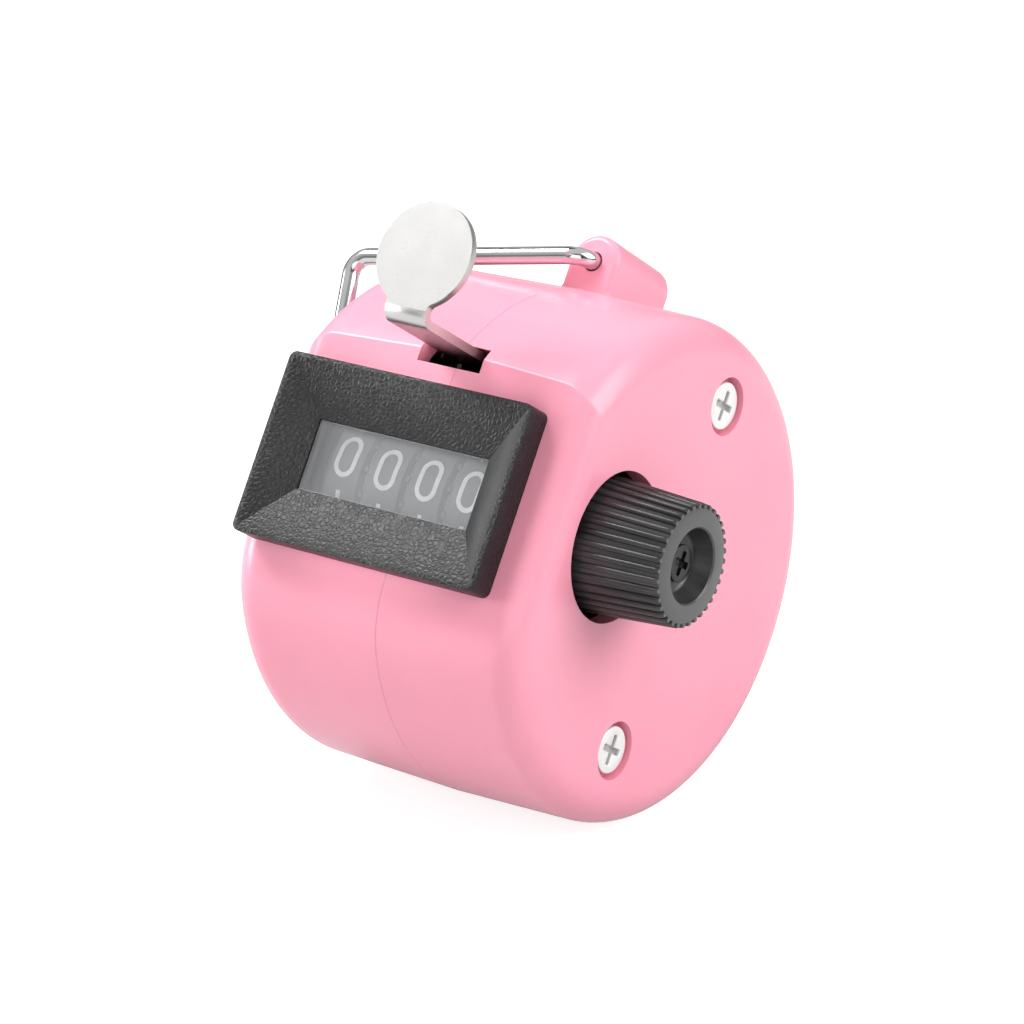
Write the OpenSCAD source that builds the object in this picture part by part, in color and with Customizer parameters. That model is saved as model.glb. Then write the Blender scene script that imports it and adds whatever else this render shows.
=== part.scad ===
// Hand tally counter: a leaning plastic drum with a four-wheel counting train,
// a thumb lever, a reset knob and a wire finger loop. Millimetres.
// Every piece is drawn in the counter's own upright pose: X runs along the drum towards the knob,
// -Y is the way the window faces and Z is up along the flat. lean() then tips it back as it is read
// and puts the middle of its plain left end at the origin.

/* [Case] */
// Angle that the counter leans back
lean_angle = 32.5; // [0:0.5:45]
// Diameter of the drum at the parting seam
body_d = 44.6; // [41:0.1:50]
// Moulding draft of the drum: how much its radius drops from the seam to the ends
end_draft = 0.3; // [0.1:0.1:1]
// Length of the drum
body_len = 30.8; // [28:0.1:36]
// Parting seam along the drum, from its middle
seam_x = 0.9; // [0:0.1:1.2]
// Wall thickness of the case halves
wall = 1.8; // [1.2:0.1:2]
// Rounding of the drum's end edges
edge_r = 3.4; // [2.6:0.1:3.4]
// Rounding of the flat's left and right ends
flat_edge_r = 2.6; // [2.2:0.1:2.8]
// Depth of the flat front face below the drum's surface
facet_depth = 3.1; // [2.5:0.1:3.5]
// Length of the seam's tongue
lip_len = 1.2; // [0.6:0.1:2]
// Thickness of the seam's tongue
lip_t = 0.9; // [0.5:0.05:1]
// Play round the seam's tongue
lip_gap = 0.08; // [0.03:0.01:0.15]

/* [Lug] */
// Width of the lug along the drum
lug_w = 5; // [4:0.1:6]
// Length of the lug from front to back
lug_len = 9.6; // [6:0.1:10]
// Height of the loop's hinge axis above the drum's surface
lug_rise = 2.1; // [1.7:0.1:3]
// Rounding of the lug's front and back top edges
lug_edge_r = 0.8; // [0.3:0.1:1.2]

/* [Finger loop] */
// Diameter of the loop's wire
wire_d = 1.6; // [1.2:0.1:2]
// Play of the wire in the lug's hole, all round
wire_gap = 0.1; // [0.05:0.01:0.2]
// Length of the loop's arms, from the hinge axis to its turned-down end
loop_reach = 23.7; // [20:0.1:26]
// Drop of the loop's turned-down end
loop_drop = 14; // [9:0.5:16]
// Bend radius of the wire, at its middle
loop_bend_r = 1.7; // [1.5:0.1:2.2]
// Play between the drum's edge and the loop where it rests
loop_clear = 0.15; // [0.15:0.05:1]

/* [Bezel and window] */
// Drum beside the bezel, at each end
bezel_side = 2.85; // [2.6:0.05:3.4]
// Height of the bezel
bezel_h = 16; // [14:0.1:17]
// Thickness of the bezel on the flat
bezel_t = 2.6; // [2.3:0.1:3]
// Middle of the bezel along the drum
bezel_x = -1.35; // [-1.6:0.05:0]
// Middle of the window along the drum
window_x = -1.2; // [-1.4:0.1:-1]
// Corner radius of the bezel
bezel_r = 0.7; // [0.3:0.1:1.5]
// Width of the bezel's plain outer rim
rim_w = 0.45; // [0.2:0.05:1]
// Depth of the bezel's sloping frame
slope_depth = 1.7; // [1:0.1:1.8]
// Depth of the window's straight wall under the slopes
window_wall = 1.1; // [0.5:0.1:1.2]
// Window beside the row of wheels, at each end
window_side = 0.14; // [0:0.02:0.3]
// Height of the window
window_h = 6.2; // [5:0.1:7]
// Thickness of the lens
lens_t = 0.7; // [0.5:0.05:0.75]
// Play between the lens and the number wheels
lens_clear = 1; // [0.2:0.05:1.1]
// Seat of the lens behind the window's edge
lens_seat = 0.8; // [0.5:0.1:1]
// Thickness of the skirt that holds the lens
skirt_t = 0.7; // [0.5:0.1:1]
// Length of the skirt behind the bezel's back
skirt_len = 1.4; // [1.3:0.1:1.5]
// Play between skirt, lens and case
fit_gap = 0.08; // [0.04:0.01:0.15]

/* [Number wheels] */
// Diameter of the number shaft
shaft_d = 3; // [2.6:0.1:3.2]
// Diameter of the number wheels
wheel_d = 14.8; // [14.6:0.1:16]
// Gap between the number wheels' rims
wheel_gap = 0.83; // [0.8:0.01:1.1]
// Length of the drum that the row of wheels leaves free
row_room = 13.48; // [13.2:0.02:14]
// Middle of the row of wheels along the drum
wheels_x = -1.6; // [-1.8:0.1:-1.2]
// Rim and web thickness of a number wheel
wheel_wall = 1; // [0.7:0.1:1.2]
// Diameter of a number wheel's hub
hub_d = 5.6; // [5:0.1:6]
// Play of turning pieces on their shafts, all round
running_gap = 0.05; // [0.02:0.01:0.08]
// Thickness of the carry disc on a wheel's left
carry_t = 0.35; // [0.25:0.05:0.38]
// Thickness of the tooth ring on a wheel's right
gear_t = 0.38; // [0.25:0.01:0.4]
// Thickness of the star wheel
star_t = 1.2; // [0.8:0.1:1.4]
// Diameter of the star wheel
star_d = 12; // [11:0.1:12.2]

/* [Carry pinions] */
// Play between a pinion's hub and the number wheels
pinion_clear = 0.25; // [0.2:0.01:0.4]
// Direction of the pinion shaft below the rear
pinion_dir = 30; // [26:1:36]
// Diameter of the pinion shaft
pinion_shaft_d = 2; // [1.6:0.1:2.2]
// Diameter of a pinion's hub
pinion_hub_d = 3.4; // [3:0.1:3.5]
// Thickness of a pinion's teeth
pinion_t = 0.6; // [0.4:0.05:0.65]

/* [Frame] */
// Thickness of the steel frame
plate_t = 1; // [0.8:0.1:1.2]
// Play between the row of wheels and the frame
frame_gap = 0.5; // [0.3:0.05:0.7]
// Edge of the frame's plates behind the wheels' rims
plate_inset = 0.3; // [0.2:0.1:1]
// Back of the frame behind the pinion shaft
frame_room = 5; // [4.6:0.1:5.6]

/* [Thumb lever] */
// Depth of the lever's pivot behind the flat
pivot_depth = 7.5; // [7.3:0.1:7.9]
// Depth of the lever's pivot below the drum's surface
pivot_edge = 5.24; // [5.2:0.02:5.4]
// Diameter of the lever's pivot shaft
pivot_d = 2; // [1.6:0.1:2.2]
// Diameter of the lever's bearing tube
tube_d = 3.8; // [3.4:0.1:4]
// Thickness of the lever's steel strip
lever_t = 0.75; // [0.7:0.05:1]
// Width of the lever's strip
lever_w = 4.1; // [3.6:0.1:4.6]
// Middle of the lever along the drum
lever_x = 0.7; // [0.5:0.05:0.9]
// Drop of the strip's underside below the pivot
lever_drop = 1.3; // [1.1:0.05:1.3]
// Reach of the thumb disc in front of the flat
lever_reach = 9.1; // [7.5:0.1:10.5]
// Diameter of the thumb disc
disc_d = 9.1; // [8.5:0.1:11]
// Height of the thumb disc's centre above the strip's underside
disc_rise = 5.8; // [5.2:0.05:6.8]
// Outer bend radius where the strip turns up into the disc
lever_bend_r = 1.25; // [1.1:0.05:1.6]
// Play at the left of the lever in its slot
slot_left = 1.8; // [0.3:0.05:2]
// Play at the right of the lever in its slot
slot_right = 0.6; // [0.3:0.05:1]
// Slot below the lever, for its travel
slot_below = 1.15; // [1.15:0.05:1.7]
// Play above the lever in its slot
slot_above = 0.35; // [0.3:0.05:0.6]
// Wire diameter of the lever's return spring
spring_wire = 0.5; // [0.4:0.05:0.55]
// Diameter of the return spring at the middle of its wire
spring_d = 3.3; // [3.1:0.1:3.6]
// Turns of the return spring
spring_turns = 6; // [4:1:7]

/* [Reset knob] */
// Play round the knob in the case
knob_gap = 0.35; // [0.3:0.05:0.6]
// Diameter of the knob where it starts
knob_base_d = 12.2; // [11:0.1:12.4]
// Diameter of the knob's outer end
knob_tip_d = 10.5; // [9.6:0.1:11]
// Height of the knob above the case's end
knob_stand = 7.6; // [6.5:0.1:9]
// Number of flutes round the knob
flute_count = 36; // [24:1:40]
// Diameter of a flute
flute_d = 0.62; // [0.4:0.02:0.7]
// Diameter of the recess in the knob's end
recess_d = 6.2; // [5:0.1:7]
// Depth of the recess in the knob's end
recess_depth = 2; // [1:0.1:3]

/* [Screws] */
// Distance of the case screws in from the edge of the drum's end
screw_edge = 6.6; // [6.6:0.1:6.8]
// Diameter of the screws' heads
head_d = 4.1; // [3.4:0.1:4.4]
// Height of the screws' heads
head_t = 0.9; // [0.7:0.05:1]
// Diameter of the screws' shanks
shank_d = 2.2; // [1.8:0.1:2.4]
// Diameter of the recess that a case screw sits in
counterbore_d = 5.1; // [4.6:0.1:5.6]
// Depth of a case screw's head below the case's end
head_recess = 0.3; // [0.2:0.05:0.8]
// Diameter of the screw posts
post_d = 5; // [4.6:0.1:5.2]
// Diameter of the screw posts at their shoulders
shoulder_d = 6.1; // [5.8:0.1:6.1]

/* [Hidden] */
$fn = 64;
eps = 0.01;
far = 60;
half_len = body_len / 2;
end_d = body_d - 2 * end_draft;
facet_dist = body_d / 2 - facet_depth;
lug_axis_h = body_d / 2 + lug_rise;
bezel_w = body_len - 2 * bezel_side;
screw_dist = end_d / 2 - screw_edge;
facet_over = 0.06;
lug_over = 0.1;
fixed_gap = 0.02;
inner_end = half_len - wall;

// Rows along the drum: the wheels' rims, the star wheel and the two frame plates
wheel_pitch = (body_len - row_room) / 4;
wheel_w = wheel_pitch - wheel_gap;
window_w = 4 * wheel_pitch + 2 * window_side;
row_left = wheel_centre(0) - wheel_w / 2;
row_right = wheel_centre(3) + wheel_w / 2;
star_right = row_right + star_t;
frame_left = row_left - frame_gap;
frame_right = star_right + frame_gap;
frame_left_out = frame_left - plate_t;
frame_right_out = frame_right + plate_t;

// Depths behind the bezel's outer rim, from the drum's axis
bezel_front = facet_dist + bezel_t;
window_edge = bezel_front - slope_depth;
lens_front = window_edge - window_wall;
skirt_back = facet_dist - skirt_len;
lens_w = window_w + 2 * lens_seat;
lens_h = window_h + 2 * lens_seat;
skirt_w = lens_w + 2 * (fit_gap + skirt_t);
skirt_h = lens_h + 2 * (fit_gap + skirt_t);

// Toothing of the carry train: twenty ring teeth drive eight pinion teeth
gear_teeth = 20;
pinion_teeth = 8;
pinion_dist = wheel_d / 2 + pinion_hub_d / 2 + pinion_clear;
gear_pitch_r = pinion_dist * gear_teeth / (gear_teeth + pinion_teeth);
pinion_pitch_r = pinion_dist - gear_pitch_r;
tooth_rise = 0.3;
tooth_fall = 0.5;
tooth_foot = 1;
tooth_top = 0.42;
carry_clear = 0.2;
carry_r = pinion_dist - pinion_pitch_r - tooth_rise - carry_clear;
star_points = 10;
star_notch = 1.4;
ring_wall = 0.8;
wheel_mouth_r = gear_pitch_r - tooth_fall - 0.7;

// Reset pawls, in the middle of the wheels' hollows
pawl_side = 0.35;
pawl_w = wheel_w - wheel_wall - ring_wall - 2 * pawl_side;
pawl_shift = (wheel_wall - ring_wall) / 2;
pawl_t = 0.6;
pawl_arm = 3.2;
pawl_play = 0.06;

// Shafts
shaft_y = lens_front - lens_t - lens_clear - wheel_d / 2;
pinion_y = -shaft_y + pinion_dist * cos(pinion_dir);
pinion_z = -pinion_dist * sin(pinion_dir);
frame_back = pinion_y + frame_room;
shaft_end_left = frame_left_out - 1.3;
clip_t = 0.4;
clip_d = 5.2;
clip_neck_d = 2.2;
clip_x = frame_left_out - 0.15 - clip_t;
key_w = 0.7;
key_depth = 0.4;
rivet_t = 0.55;
rivet_over = 0.6;

// Knob
knob_hole_d = knob_base_d + 2 * knob_gap;
knob_tip = half_len + knob_stand;
knob_start = frame_right_out + 0.5;
recess_floor = knob_tip - recess_depth;
shaft_end_right = recess_floor - 2.2;

// Lever
pivot_y = facet_dist - pivot_depth;
pivot_z = sqrt(pow(body_d / 2 - pivot_edge, 2) - pow(pivot_y, 2));
lever_z = pivot_z - lever_drop;
disc_y = facet_dist + lever_reach;
disc_z = lever_z + disc_rise;
slot_low = lever_z - slot_below;
slot_high = lever_z + lever_t + slot_above;
tube_right = frame_right - 0.3;
lever_left = lever_x - lever_w / 2;
lever_right = lever_x + lever_w / 2;
slot_w = slot_left + lever_w + slot_right;
tube_left = lever_left + 1.1;
fork_t = star_t - 0.4;
fork_left = row_right + 0.3;
fork_ring_d = tube_d + 1.4;
fork_arm_w = tube_d / 2 + 0.7;
fork_tip_r = 0.5;
fork_front_dir = 127;
fork_rear_dir = 55;
fork_front_clear = 1.1;
fork_rear_clear = 0.35;
fork_front_tip = fork_tip(fork_front_dir, fork_front_clear);
fork_rear_tip = fork_tip(fork_rear_dir, fork_rear_clear);
spring_left = frame_left + 0.6;
spring_right = tube_left - 0.6;
spring_front_leg = 4.6;
spring_rear_leg = 6;

// Leaf that steadies the star wheel
leaf_t = 0.3;
leaf_w = star_t - 0.2;
leaf_foot = 5;
leaf_foot_z = -8.5;
leaf_reach = 6;
leaf_rise = 22;
leaf_x = row_right + star_t / 2;
leaf_foot_w = 3.6;
leaf_rivet_d = 1.6;
leaf_rivet_x = leaf_x + leaf_w / 2 - leaf_foot_w / 2;

// Screws
counterbore_depth = head_recess + head_t;
shank_len = 11;
cross_w = 0.55;
cross_depth = 0.55;
post_gap = 0.1;
ear_wall = 1.2;
frame_half = screw_dist - post_d / 2;
knob_screw_head_d = 3.2;
knob_screw_len = 5;
knob_screw_d = shank_d - 0.64;

// Finger loop: it rests with its arms clear of the drum's rounded end edge
loop_arm_y = lug_len / 2 + loop_bend_r;
loop_edge_x = half_len - edge_r + seam_x;
loop_edge_drop = lug_axis_h - sqrt(pow(end_d / 2, 2) - pow(loop_arm_y, 2)) + edge_r;
loop_edge_r = edge_r + wire_d / 2 + loop_clear;
loop_sag = atan2(loop_edge_drop, loop_edge_x) - asin(loop_edge_r / norm([loop_edge_x, loop_edge_drop]));

case_pink = "#fdb3c8";
black = "#26262a";
steel = "#c9ccd0";
wheel_grey = "#77787c";

function wheel_centre(i) = wheels_x + (i - 1.5) * wheel_pitch;
function unit(v) = v / norm(v);
function fork_tip(dir, clear) =
    [-shaft_y, 0] + (star_d / 2 + clear + fork_tip_r) * [cos(dir), sin(dir)];

// Shared placing and outlines

module lean() {
    translate([half_len, 0, 0]) rotate([-lean_angle, 0, 0]) children();
}

// Extrudes a (y, z) outline along the drum
module along_x(from, to) {
    translate([from, 0, 0]) rotate([90, 0, 90]) linear_extrude(to - from) children();
}

// Extrudes an (x, z) outline from front to back
module along_y(from, to) {
    translate([0, to, 0]) rotate([90, 0, 0]) linear_extrude(to - from) children();
}

// A round bar along the drum through the point (y, z)
module bar_x(from, to, y, z, d) {
    translate([from, y, z]) rotate([0, 90, 0]) cylinder(d = d, h = to - from);
}

// A round bar from front to back through the point (x, z)
module bar_y(from, to, x, z, d) {
    translate([x, to, z]) rotate([90, 0, 0]) cylinder(d = d, h = to - from);
}

module rounded_rect(w, h, r) {
    square([w - 2 * r, h], center = true);
    square([w, h - 2 * r], center = true);
    for (x = [-1, 1], z = [-1, 1])
        translate([x * (w / 2 - r), z * (h / 2 - r)]) circle(r);
}

// Everything of the drum between two stations along its axis
module slab(from, to) {
    translate([from, -far / 2, -far / 2]) cube([to - from, far, far]);
}

// Case

// Half section of the drum, drawn inwards by inset, with bevelled end edges
module drum_section(inset) {
    h = half_len - inset;
    mid_r = body_d / 2 - inset;
    end_r = end_d / 2 - inset;
    r = edge_r - inset;
    polygon([[0, -h], [end_r - r, -h], [end_r, -h + r], [mid_r, seam_x],
        [end_r, h - r], [end_r - r, h], [0, h]]);
}

// Plan of the drum with its flat front, drawn inwards by inset, with bevelled ends
module facet_plan(inset) {
    h = half_len - inset + facet_over;
    f = facet_dist - inset;
    r = flat_edge_r - inset + facet_over;
    polygon([[-h, far], [-h, -f + r], [-h + r, -f], [h - r, -f], [h, -f + r], [h, far]]);
}

// The drum's solid, or the hollow in it when drawn inwards
module drum(inset) {
    intersection() {
        rotate([0, 90, 0]) rotate_extrude($fn = 128) drum_section(inset);
        translate([0, 0, -far / 2]) linear_extrude(far) facet_plan(inset);
    }
}

// The drum's outside, its edges rounded. The flat's round ends run a little past the drum's ends,
// so that the two roundings cross instead of meeting at a tangent.
module case_envelope() {
    r = flat_edge_r + facet_over;
    intersection() {
        rotate([0, 90, 0]) rotate_extrude($fn = 128) {
            drum_section(0);
            for (side = [-1, 1])
                translate([end_d / 2 - edge_r, side * (half_len - edge_r)]) circle(edge_r);
        }
        translate([0, 0, -far / 2]) linear_extrude(far) {
            facet_plan(0);
            for (side = [-1, 1])
                translate([side * (half_len - flat_edge_r), -facet_dist + r]) circle(r);
        }
    }
}

module lug() {
    base = body_d / 2 - wall / 2;
    top = lug_axis_h + lug_w / 2;
    translate([seam_x, 0, 0]) intersection() {
        along_y(-lug_len / 2, lug_len / 2) {
            translate([0, lug_axis_h]) circle(d = lug_w);
            translate([-lug_w / 2, base]) square([lug_w, lug_axis_h - base]);
        }
        along_x(-lug_w, lug_w)
            translate([0, top + lug_over - far / 2]) rounded_rect(lug_len, far, lug_edge_r);
    }
}

module case_outside() {
    difference() {
        union() {
            difference() {
                case_envelope();
                drum(wall);
            }
            lug();
        }
        bar_y(-lug_len, lug_len, seam_x, lug_axis_h, wire_d + 2 * wire_gap);
        bezel_opening();
        lever_slot();
    }
}

module bezel_opening() {
    along_y(-far / 2, -facet_dist + 2 * wall)
        translate([window_x, 0]) square([skirt_w + 2 * fit_gap, skirt_h + 2 * fit_gap], center = true);
}

module lever_slot() {
    translate([lever_left - slot_left, -far / 2, slot_low])
        cube([slot_w, far / 2 - pivot_y - tube_d / 2, slot_high - slot_low]);
}

module screw_bore(from, to, d) {
    for (side = [-1, 1])
        bar_x(from, to, 0, side * screw_dist, d);
}

module case_right() {
    color(case_pink) lean() difference() {
        union() {
            intersection() {
                case_outside();
                slab(seam_x, far);
            }
            screw_bore(frame_right_out, inner_end + eps, shoulder_d);
        }
        intersection() {
            drum(wall - lip_t - lip_gap);
            slab(seam_x - eps, seam_x + lip_len + lip_gap);
        }
        bar_x(inner_end - eps, half_len + eps, -shaft_y, 0, knob_hole_d);
        screw_bore(frame_right_out - eps, half_len, shank_d + 2 * post_gap);
        screw_bore(half_len - counterbore_depth, half_len + eps, counterbore_d);
    }
}

module case_left() {
    color(case_pink) lean() difference() {
        union() {
            intersection() {
                case_outside();
                slab(-far, seam_x);
            }
            difference() {
                intersection() {
                    drum(wall - lip_t);
                    slab(seam_x - eps, seam_x + lip_len);
                }
                drum(wall);
                bezel_opening();
                lever_slot();
            }
            screw_bore(-inner_end - eps, frame_left_out, shoulder_d);
            screw_bore(-inner_end - eps, frame_right_out, post_d);
        }
        screw_bore(half_len - counterbore_depth - shank_len - 1, half_len, shank_d + 2 * fixed_gap);
    }
}

// Window

module bezel() {
    slope_w = bezel_w - 2 * rim_w;
    slope_h = bezel_h - 2 * rim_w;
    shift = bezel_x - window_x;
    color(black) lean() translate([window_x, 0, 0]) difference() {
        union() {
            along_y(-bezel_front, -facet_dist)
                translate([shift, 0]) rounded_rect(bezel_w, bezel_h, bezel_r);
            along_y(-facet_dist - eps, -skirt_back) square([skirt_w, skirt_h], center = true);
        }
        hull() {
            along_y(-bezel_front - eps, -bezel_front)
                translate([shift, 0]) square([slope_w, slope_h], center = true);
            along_y(-window_edge - eps, -window_edge) square([window_w, window_h], center = true);
        }
        along_y(-bezel_front, 0) square([window_w, window_h], center = true);
        along_y(-lens_front, 0) square([lens_w + 2 * fit_gap, lens_h + 2 * fit_gap], center = true);
    }
}

module window_lens() {
    color("#dfe6ea", 0.4) lean() translate([window_x, 0, 0])
        along_y(-lens_front, -lens_front + lens_t) square([lens_w, lens_h], center = true);
}

// Frame and shafts

module plate_outline() {
    ear_r = post_d / 2 + post_gap + ear_wall;
    hull() {
        translate([-shaft_y, 0]) circle(wheel_d / 2 - plate_inset);
        translate([-pivot_y, pivot_z]) circle(d = pivot_d + 2.4, $fn = 32);
        translate([pinion_y, pinion_z]) circle(d = pinion_shaft_d + 3, $fn = 32);
        for (side = [-1, 1]) {
            translate([0, side * screw_dist]) circle(ear_r, $fn = 32);
            translate([frame_back - plate_t / 2, side * frame_half]) circle(plate_t / 2, $fn = 32);
        }
    }
}

module mechanism_frame() {
    color(steel) lean() difference() {
        union() {
            along_x(frame_left_out, frame_left) plate_outline();
            along_x(frame_right, frame_right_out) plate_outline();
            translate([frame_left_out, frame_back - plate_t, -frame_half])
                cube([frame_right_out - frame_left_out, plate_t, 2 * frame_half]);
        }
        bar_x(-far, far, -shaft_y, 0, shaft_d + 2 * running_gap);
        bar_x(-far, far, -pivot_y, pivot_z, pivot_d + 2 * fixed_gap);
        bar_x(-far, far, pinion_y, pinion_z, pinion_shaft_d + 2 * fixed_gap);
        screw_bore(-far, far, post_d + 2 * post_gap);
        bar_y(0, far, leaf_rivet_x, leaf_foot_z + leaf_foot / 2, leaf_rivet_d + 2 * fixed_gap);
    }
}

module number_shaft() {
    color(steel) lean() difference() {
        bar_x(shaft_end_left, shaft_end_right, -shaft_y, 0, shaft_d);
        translate([row_left, -shaft_y - key_w / 2, -shaft_d / 2 - eps])
            cube([row_right - row_left, key_w, key_depth]);
        difference() {
            bar_x(clip_x, clip_x + clip_t, -shaft_y, 0, shaft_d + 1);
            bar_x(clip_x, clip_x + clip_t, -shaft_y, 0, clip_neck_d);
        }
        bar_x(shaft_end_right - knob_screw_len, far, -shaft_y, 0, knob_screw_d + 2 * fixed_gap);
    }
}

module shaft_clip() {
    inset = 0.05;
    color(steel) lean() difference() {
        bar_x(clip_x + inset, clip_x + clip_t - inset, -shaft_y, 0, clip_d);
        bar_x(-far, far, -shaft_y, 0, clip_neck_d + 2 * fixed_gap);
        translate([-far, -shaft_y - clip_neck_d / 2, 0]) cube([2 * far, clip_neck_d, clip_d]);
    }
}

// A shaft with riveted ends outside the two frame plates
module riveted_shaft(y, z, d) {
    bar_x(frame_left_out - rivet_t, frame_right_out + rivet_t, y, z, d);
    bar_x(frame_left_out - rivet_t, frame_left_out, y, z, d + 2 * rivet_over);
    bar_x(frame_right_out, frame_right_out + rivet_t, y, z, d + 2 * rivet_over);
}

module pinion_shaft() {
    color(steel) lean() riveted_shaft(pinion_y, pinion_z, pinion_shaft_d);
}

module lever_shaft() {
    color(steel) lean() riveted_shaft(-pivot_y, pivot_z, pivot_d);
}

// Counting train

// Toothed disc about the X axis: a root circle with tapered teeth, the first one at angle start
module toothed_disc(pitch_r, teeth, start) {
    foot_r = pitch_r - tooth_fall;
    circle(foot_r);
    for (i = [0:teeth - 1])
        rotate(start + i * 360 / teeth)
            polygon([[foot_r * 0.9, -tooth_foot / 2], [pitch_r + tooth_rise, -tooth_top / 2],
                [pitch_r + tooth_rise, tooth_top / 2], [foot_r * 0.9, tooth_foot / 2]]);
}

// One number wheel: rim, web and hub, open on the right inside its tooth ring, which the units wheel
// doesn't have, and a carry disc with two teeth on its left, which the thousands wheel doesn't have
module number_wheel(i) {
    mid = wheel_centre(i);
    left = mid - wheel_w / 2;
    right = mid + wheel_w / 2;
    carry_teeth_at = pinion_dir + 135;
    color(wheel_grey) lean() translate([0, -shaft_y, 0]) difference() {
        union() {
            bar_x(left, right, 0, 0, wheel_d);
            if (i < 3)
                along_x(right - eps, right + gear_t)
                    toothed_disc(gear_pitch_r, gear_teeth, -pinion_dir + 180 / gear_teeth);
            if (i > 0)
                along_x(left - carry_t, left + eps) {
                    circle(carry_r - tooth_rise);
                    for (side = [-1, 1])
                        rotate(carry_teeth_at + side * 9)
                            translate([0, -tooth_top / 2]) square([carry_r, tooth_top]);
                }
        }
        difference() {
            union() {
                bar_x(left + wheel_wall, right - ring_wall, 0, 0, wheel_d - 2 * wheel_wall);
                bar_x(left + wheel_wall, right + gear_t + eps, 0, 0, 2 * wheel_mouth_r);
            }
            bar_x(-far, far, 0, 0, hub_d);
        }
        bar_x(-far, far, 0, 0, shaft_d + 2 * running_gap);
        pawl_pocket(mid + pawl_shift);
    }
}

// The slot in a wheel's hub that guides its reset pawl down to the shaft's keyway
module pawl_pocket(mid) {
    translate([mid - pawl_w / 2 - pawl_play, -pawl_t / 2 - pawl_play, -wheel_d / 2 + wheel_wall + eps])
        cube([pawl_w + 2 * pawl_play, pawl_t + 2 * pawl_play, wheel_d / 2 - wheel_wall]);
}

// A reset pawl: a blade in the hub's slot with a springy arm that bears inside the rim
module reset_pawl(i) {
    mid = wheel_centre(i) + pawl_shift;
    tip = shaft_d / 2 + 2 * running_gap;
    arm_r = wheel_d / 2 - wheel_wall - pawl_play;
    color("goldenrod") lean() translate([mid, -shaft_y, 0]) {
        translate([-pawl_w / 2, -pawl_t / 2, -arm_r]) cube([pawl_w, pawl_t, arm_r - tip]);
        translate([-pawl_w / 2, -pawl_t / 2, -hub_d / 2 - pawl_arm / 2])
            cube([pawl_w, pawl_arm, pawl_t]);
    }
}

module number_wheel_thousands() { number_wheel(0); }
module number_wheel_hundreds() { number_wheel(1); }
module number_wheel_tens() { number_wheel(2); }
module number_wheel_units() { number_wheel(3); }
module reset_pawl_thousands() { reset_pawl(0); }
module reset_pawl_hundreds() { reset_pawl(1); }
module reset_pawl_tens() { reset_pawl(2); }
module reset_pawl_units() { reset_pawl(3); }

module star_wheel() {
    points = [for (i = [0:2 * star_points - 1])
        let (r = star_d / 2 - (i % 2) * star_notch, a = i * 180 / star_points)
        [r * cos(a), r * sin(a)]];
    color("ivory") lean() translate([0, -shaft_y, 0]) difference() {
        along_x(row_right, star_right) polygon(points);
        bar_x(-far, far, 0, 0, shaft_d + 2 * running_gap);
    }
}

// The pinion between wheel i and its right-hand neighbour
module carry_pinion(i) {
    mid = wheel_centre(i) + wheel_pitch / 2;
    hub_len = wheel_pitch - 0.1;
    color("ivory") lean() translate([0, pinion_y, pinion_z]) difference() {
        union() {
            along_x(mid - pinion_t / 2, mid + pinion_t / 2)
                toothed_disc(pinion_pitch_r, pinion_teeth, 180 - pinion_dir);
            bar_x(mid - hub_len / 2, mid + hub_len / 2, 0, 0, pinion_hub_d);
        }
        bar_x(-far, far, 0, 0, pinion_shaft_d + 2 * running_gap);
    }
}

module carry_pinion_thousands() { carry_pinion(0); }
module carry_pinion_hundreds() { carry_pinion(1); }
module carry_pinion_tens() { carry_pinion(2); }

module pinion_spacers() {
    pinions_left = wheel_centre(0);
    pinions_right = wheel_centre(3);
    spans = [[frame_left, pinions_left - running_gap], [pinions_right + running_gap, frame_right]];
    color(steel) lean() for (span = spans)
        difference() {
            bar_x(span[0], span[1], pinion_y, pinion_z, pinion_hub_d);
            bar_x(-far, far, pinion_y, pinion_z, pinion_shaft_d + 2 * fixed_gap);
        }
}

module detent_leaf() {
    front = frame_back - plate_t;
    color("silver") lean() difference() {
        union() {
            translate([leaf_x + leaf_w / 2 - leaf_foot_w, front - leaf_t, leaf_foot_z])
                cube([leaf_foot_w, leaf_t, leaf_foot]);
            along_x(leaf_x - leaf_w / 2, leaf_x + leaf_w / 2)
                translate([front, leaf_foot_z + leaf_foot - leaf_t / 2])
                    rotate(180 - leaf_rise) translate([0, -leaf_t / 2]) square([leaf_reach, leaf_t]);
        }
        bar_y(0, far, leaf_rivet_x, leaf_foot_z + leaf_foot / 2, leaf_rivet_d + 2 * fixed_gap);
        translate([-far / 2, front, -far / 2]) cube(far);
    }
}

module leaf_rivet() {
    front = frame_back - plate_t - leaf_t;
    z = leaf_foot_z + leaf_foot / 2;
    color(steel) lean() {
        bar_y(front - rivet_t, frame_back + rivet_t, leaf_rivet_x, z, leaf_rivet_d);
        bar_y(front - rivet_t, front, leaf_rivet_x, z, leaf_rivet_d + 2 * rivet_over);
        bar_y(frame_back, frame_back + rivet_t, leaf_rivet_x, z, leaf_rivet_d + 2 * rivet_over);
    }
}

// Lever

// Side view of the lever's strip, from its bearing tube to the turned-up thumb disc
module lever_bend() {
    inner_r = lever_bend_r - lever_t;
    translate([-disc_y + lever_bend_r, lever_z]) square([disc_y - lever_bend_r - pivot_y, lever_t]);
    translate([-disc_y, lever_z + lever_bend_r]) square([lever_t, disc_z - lever_z - lever_bend_r]);
    translate([-disc_y + lever_bend_r, lever_z + lever_bend_r]) intersection() {
        difference() {
            circle(lever_bend_r);
            circle(inner_r);
        }
        translate([-lever_bend_r, -lever_bend_r]) square(lever_bend_r + eps);
    }
}

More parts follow.
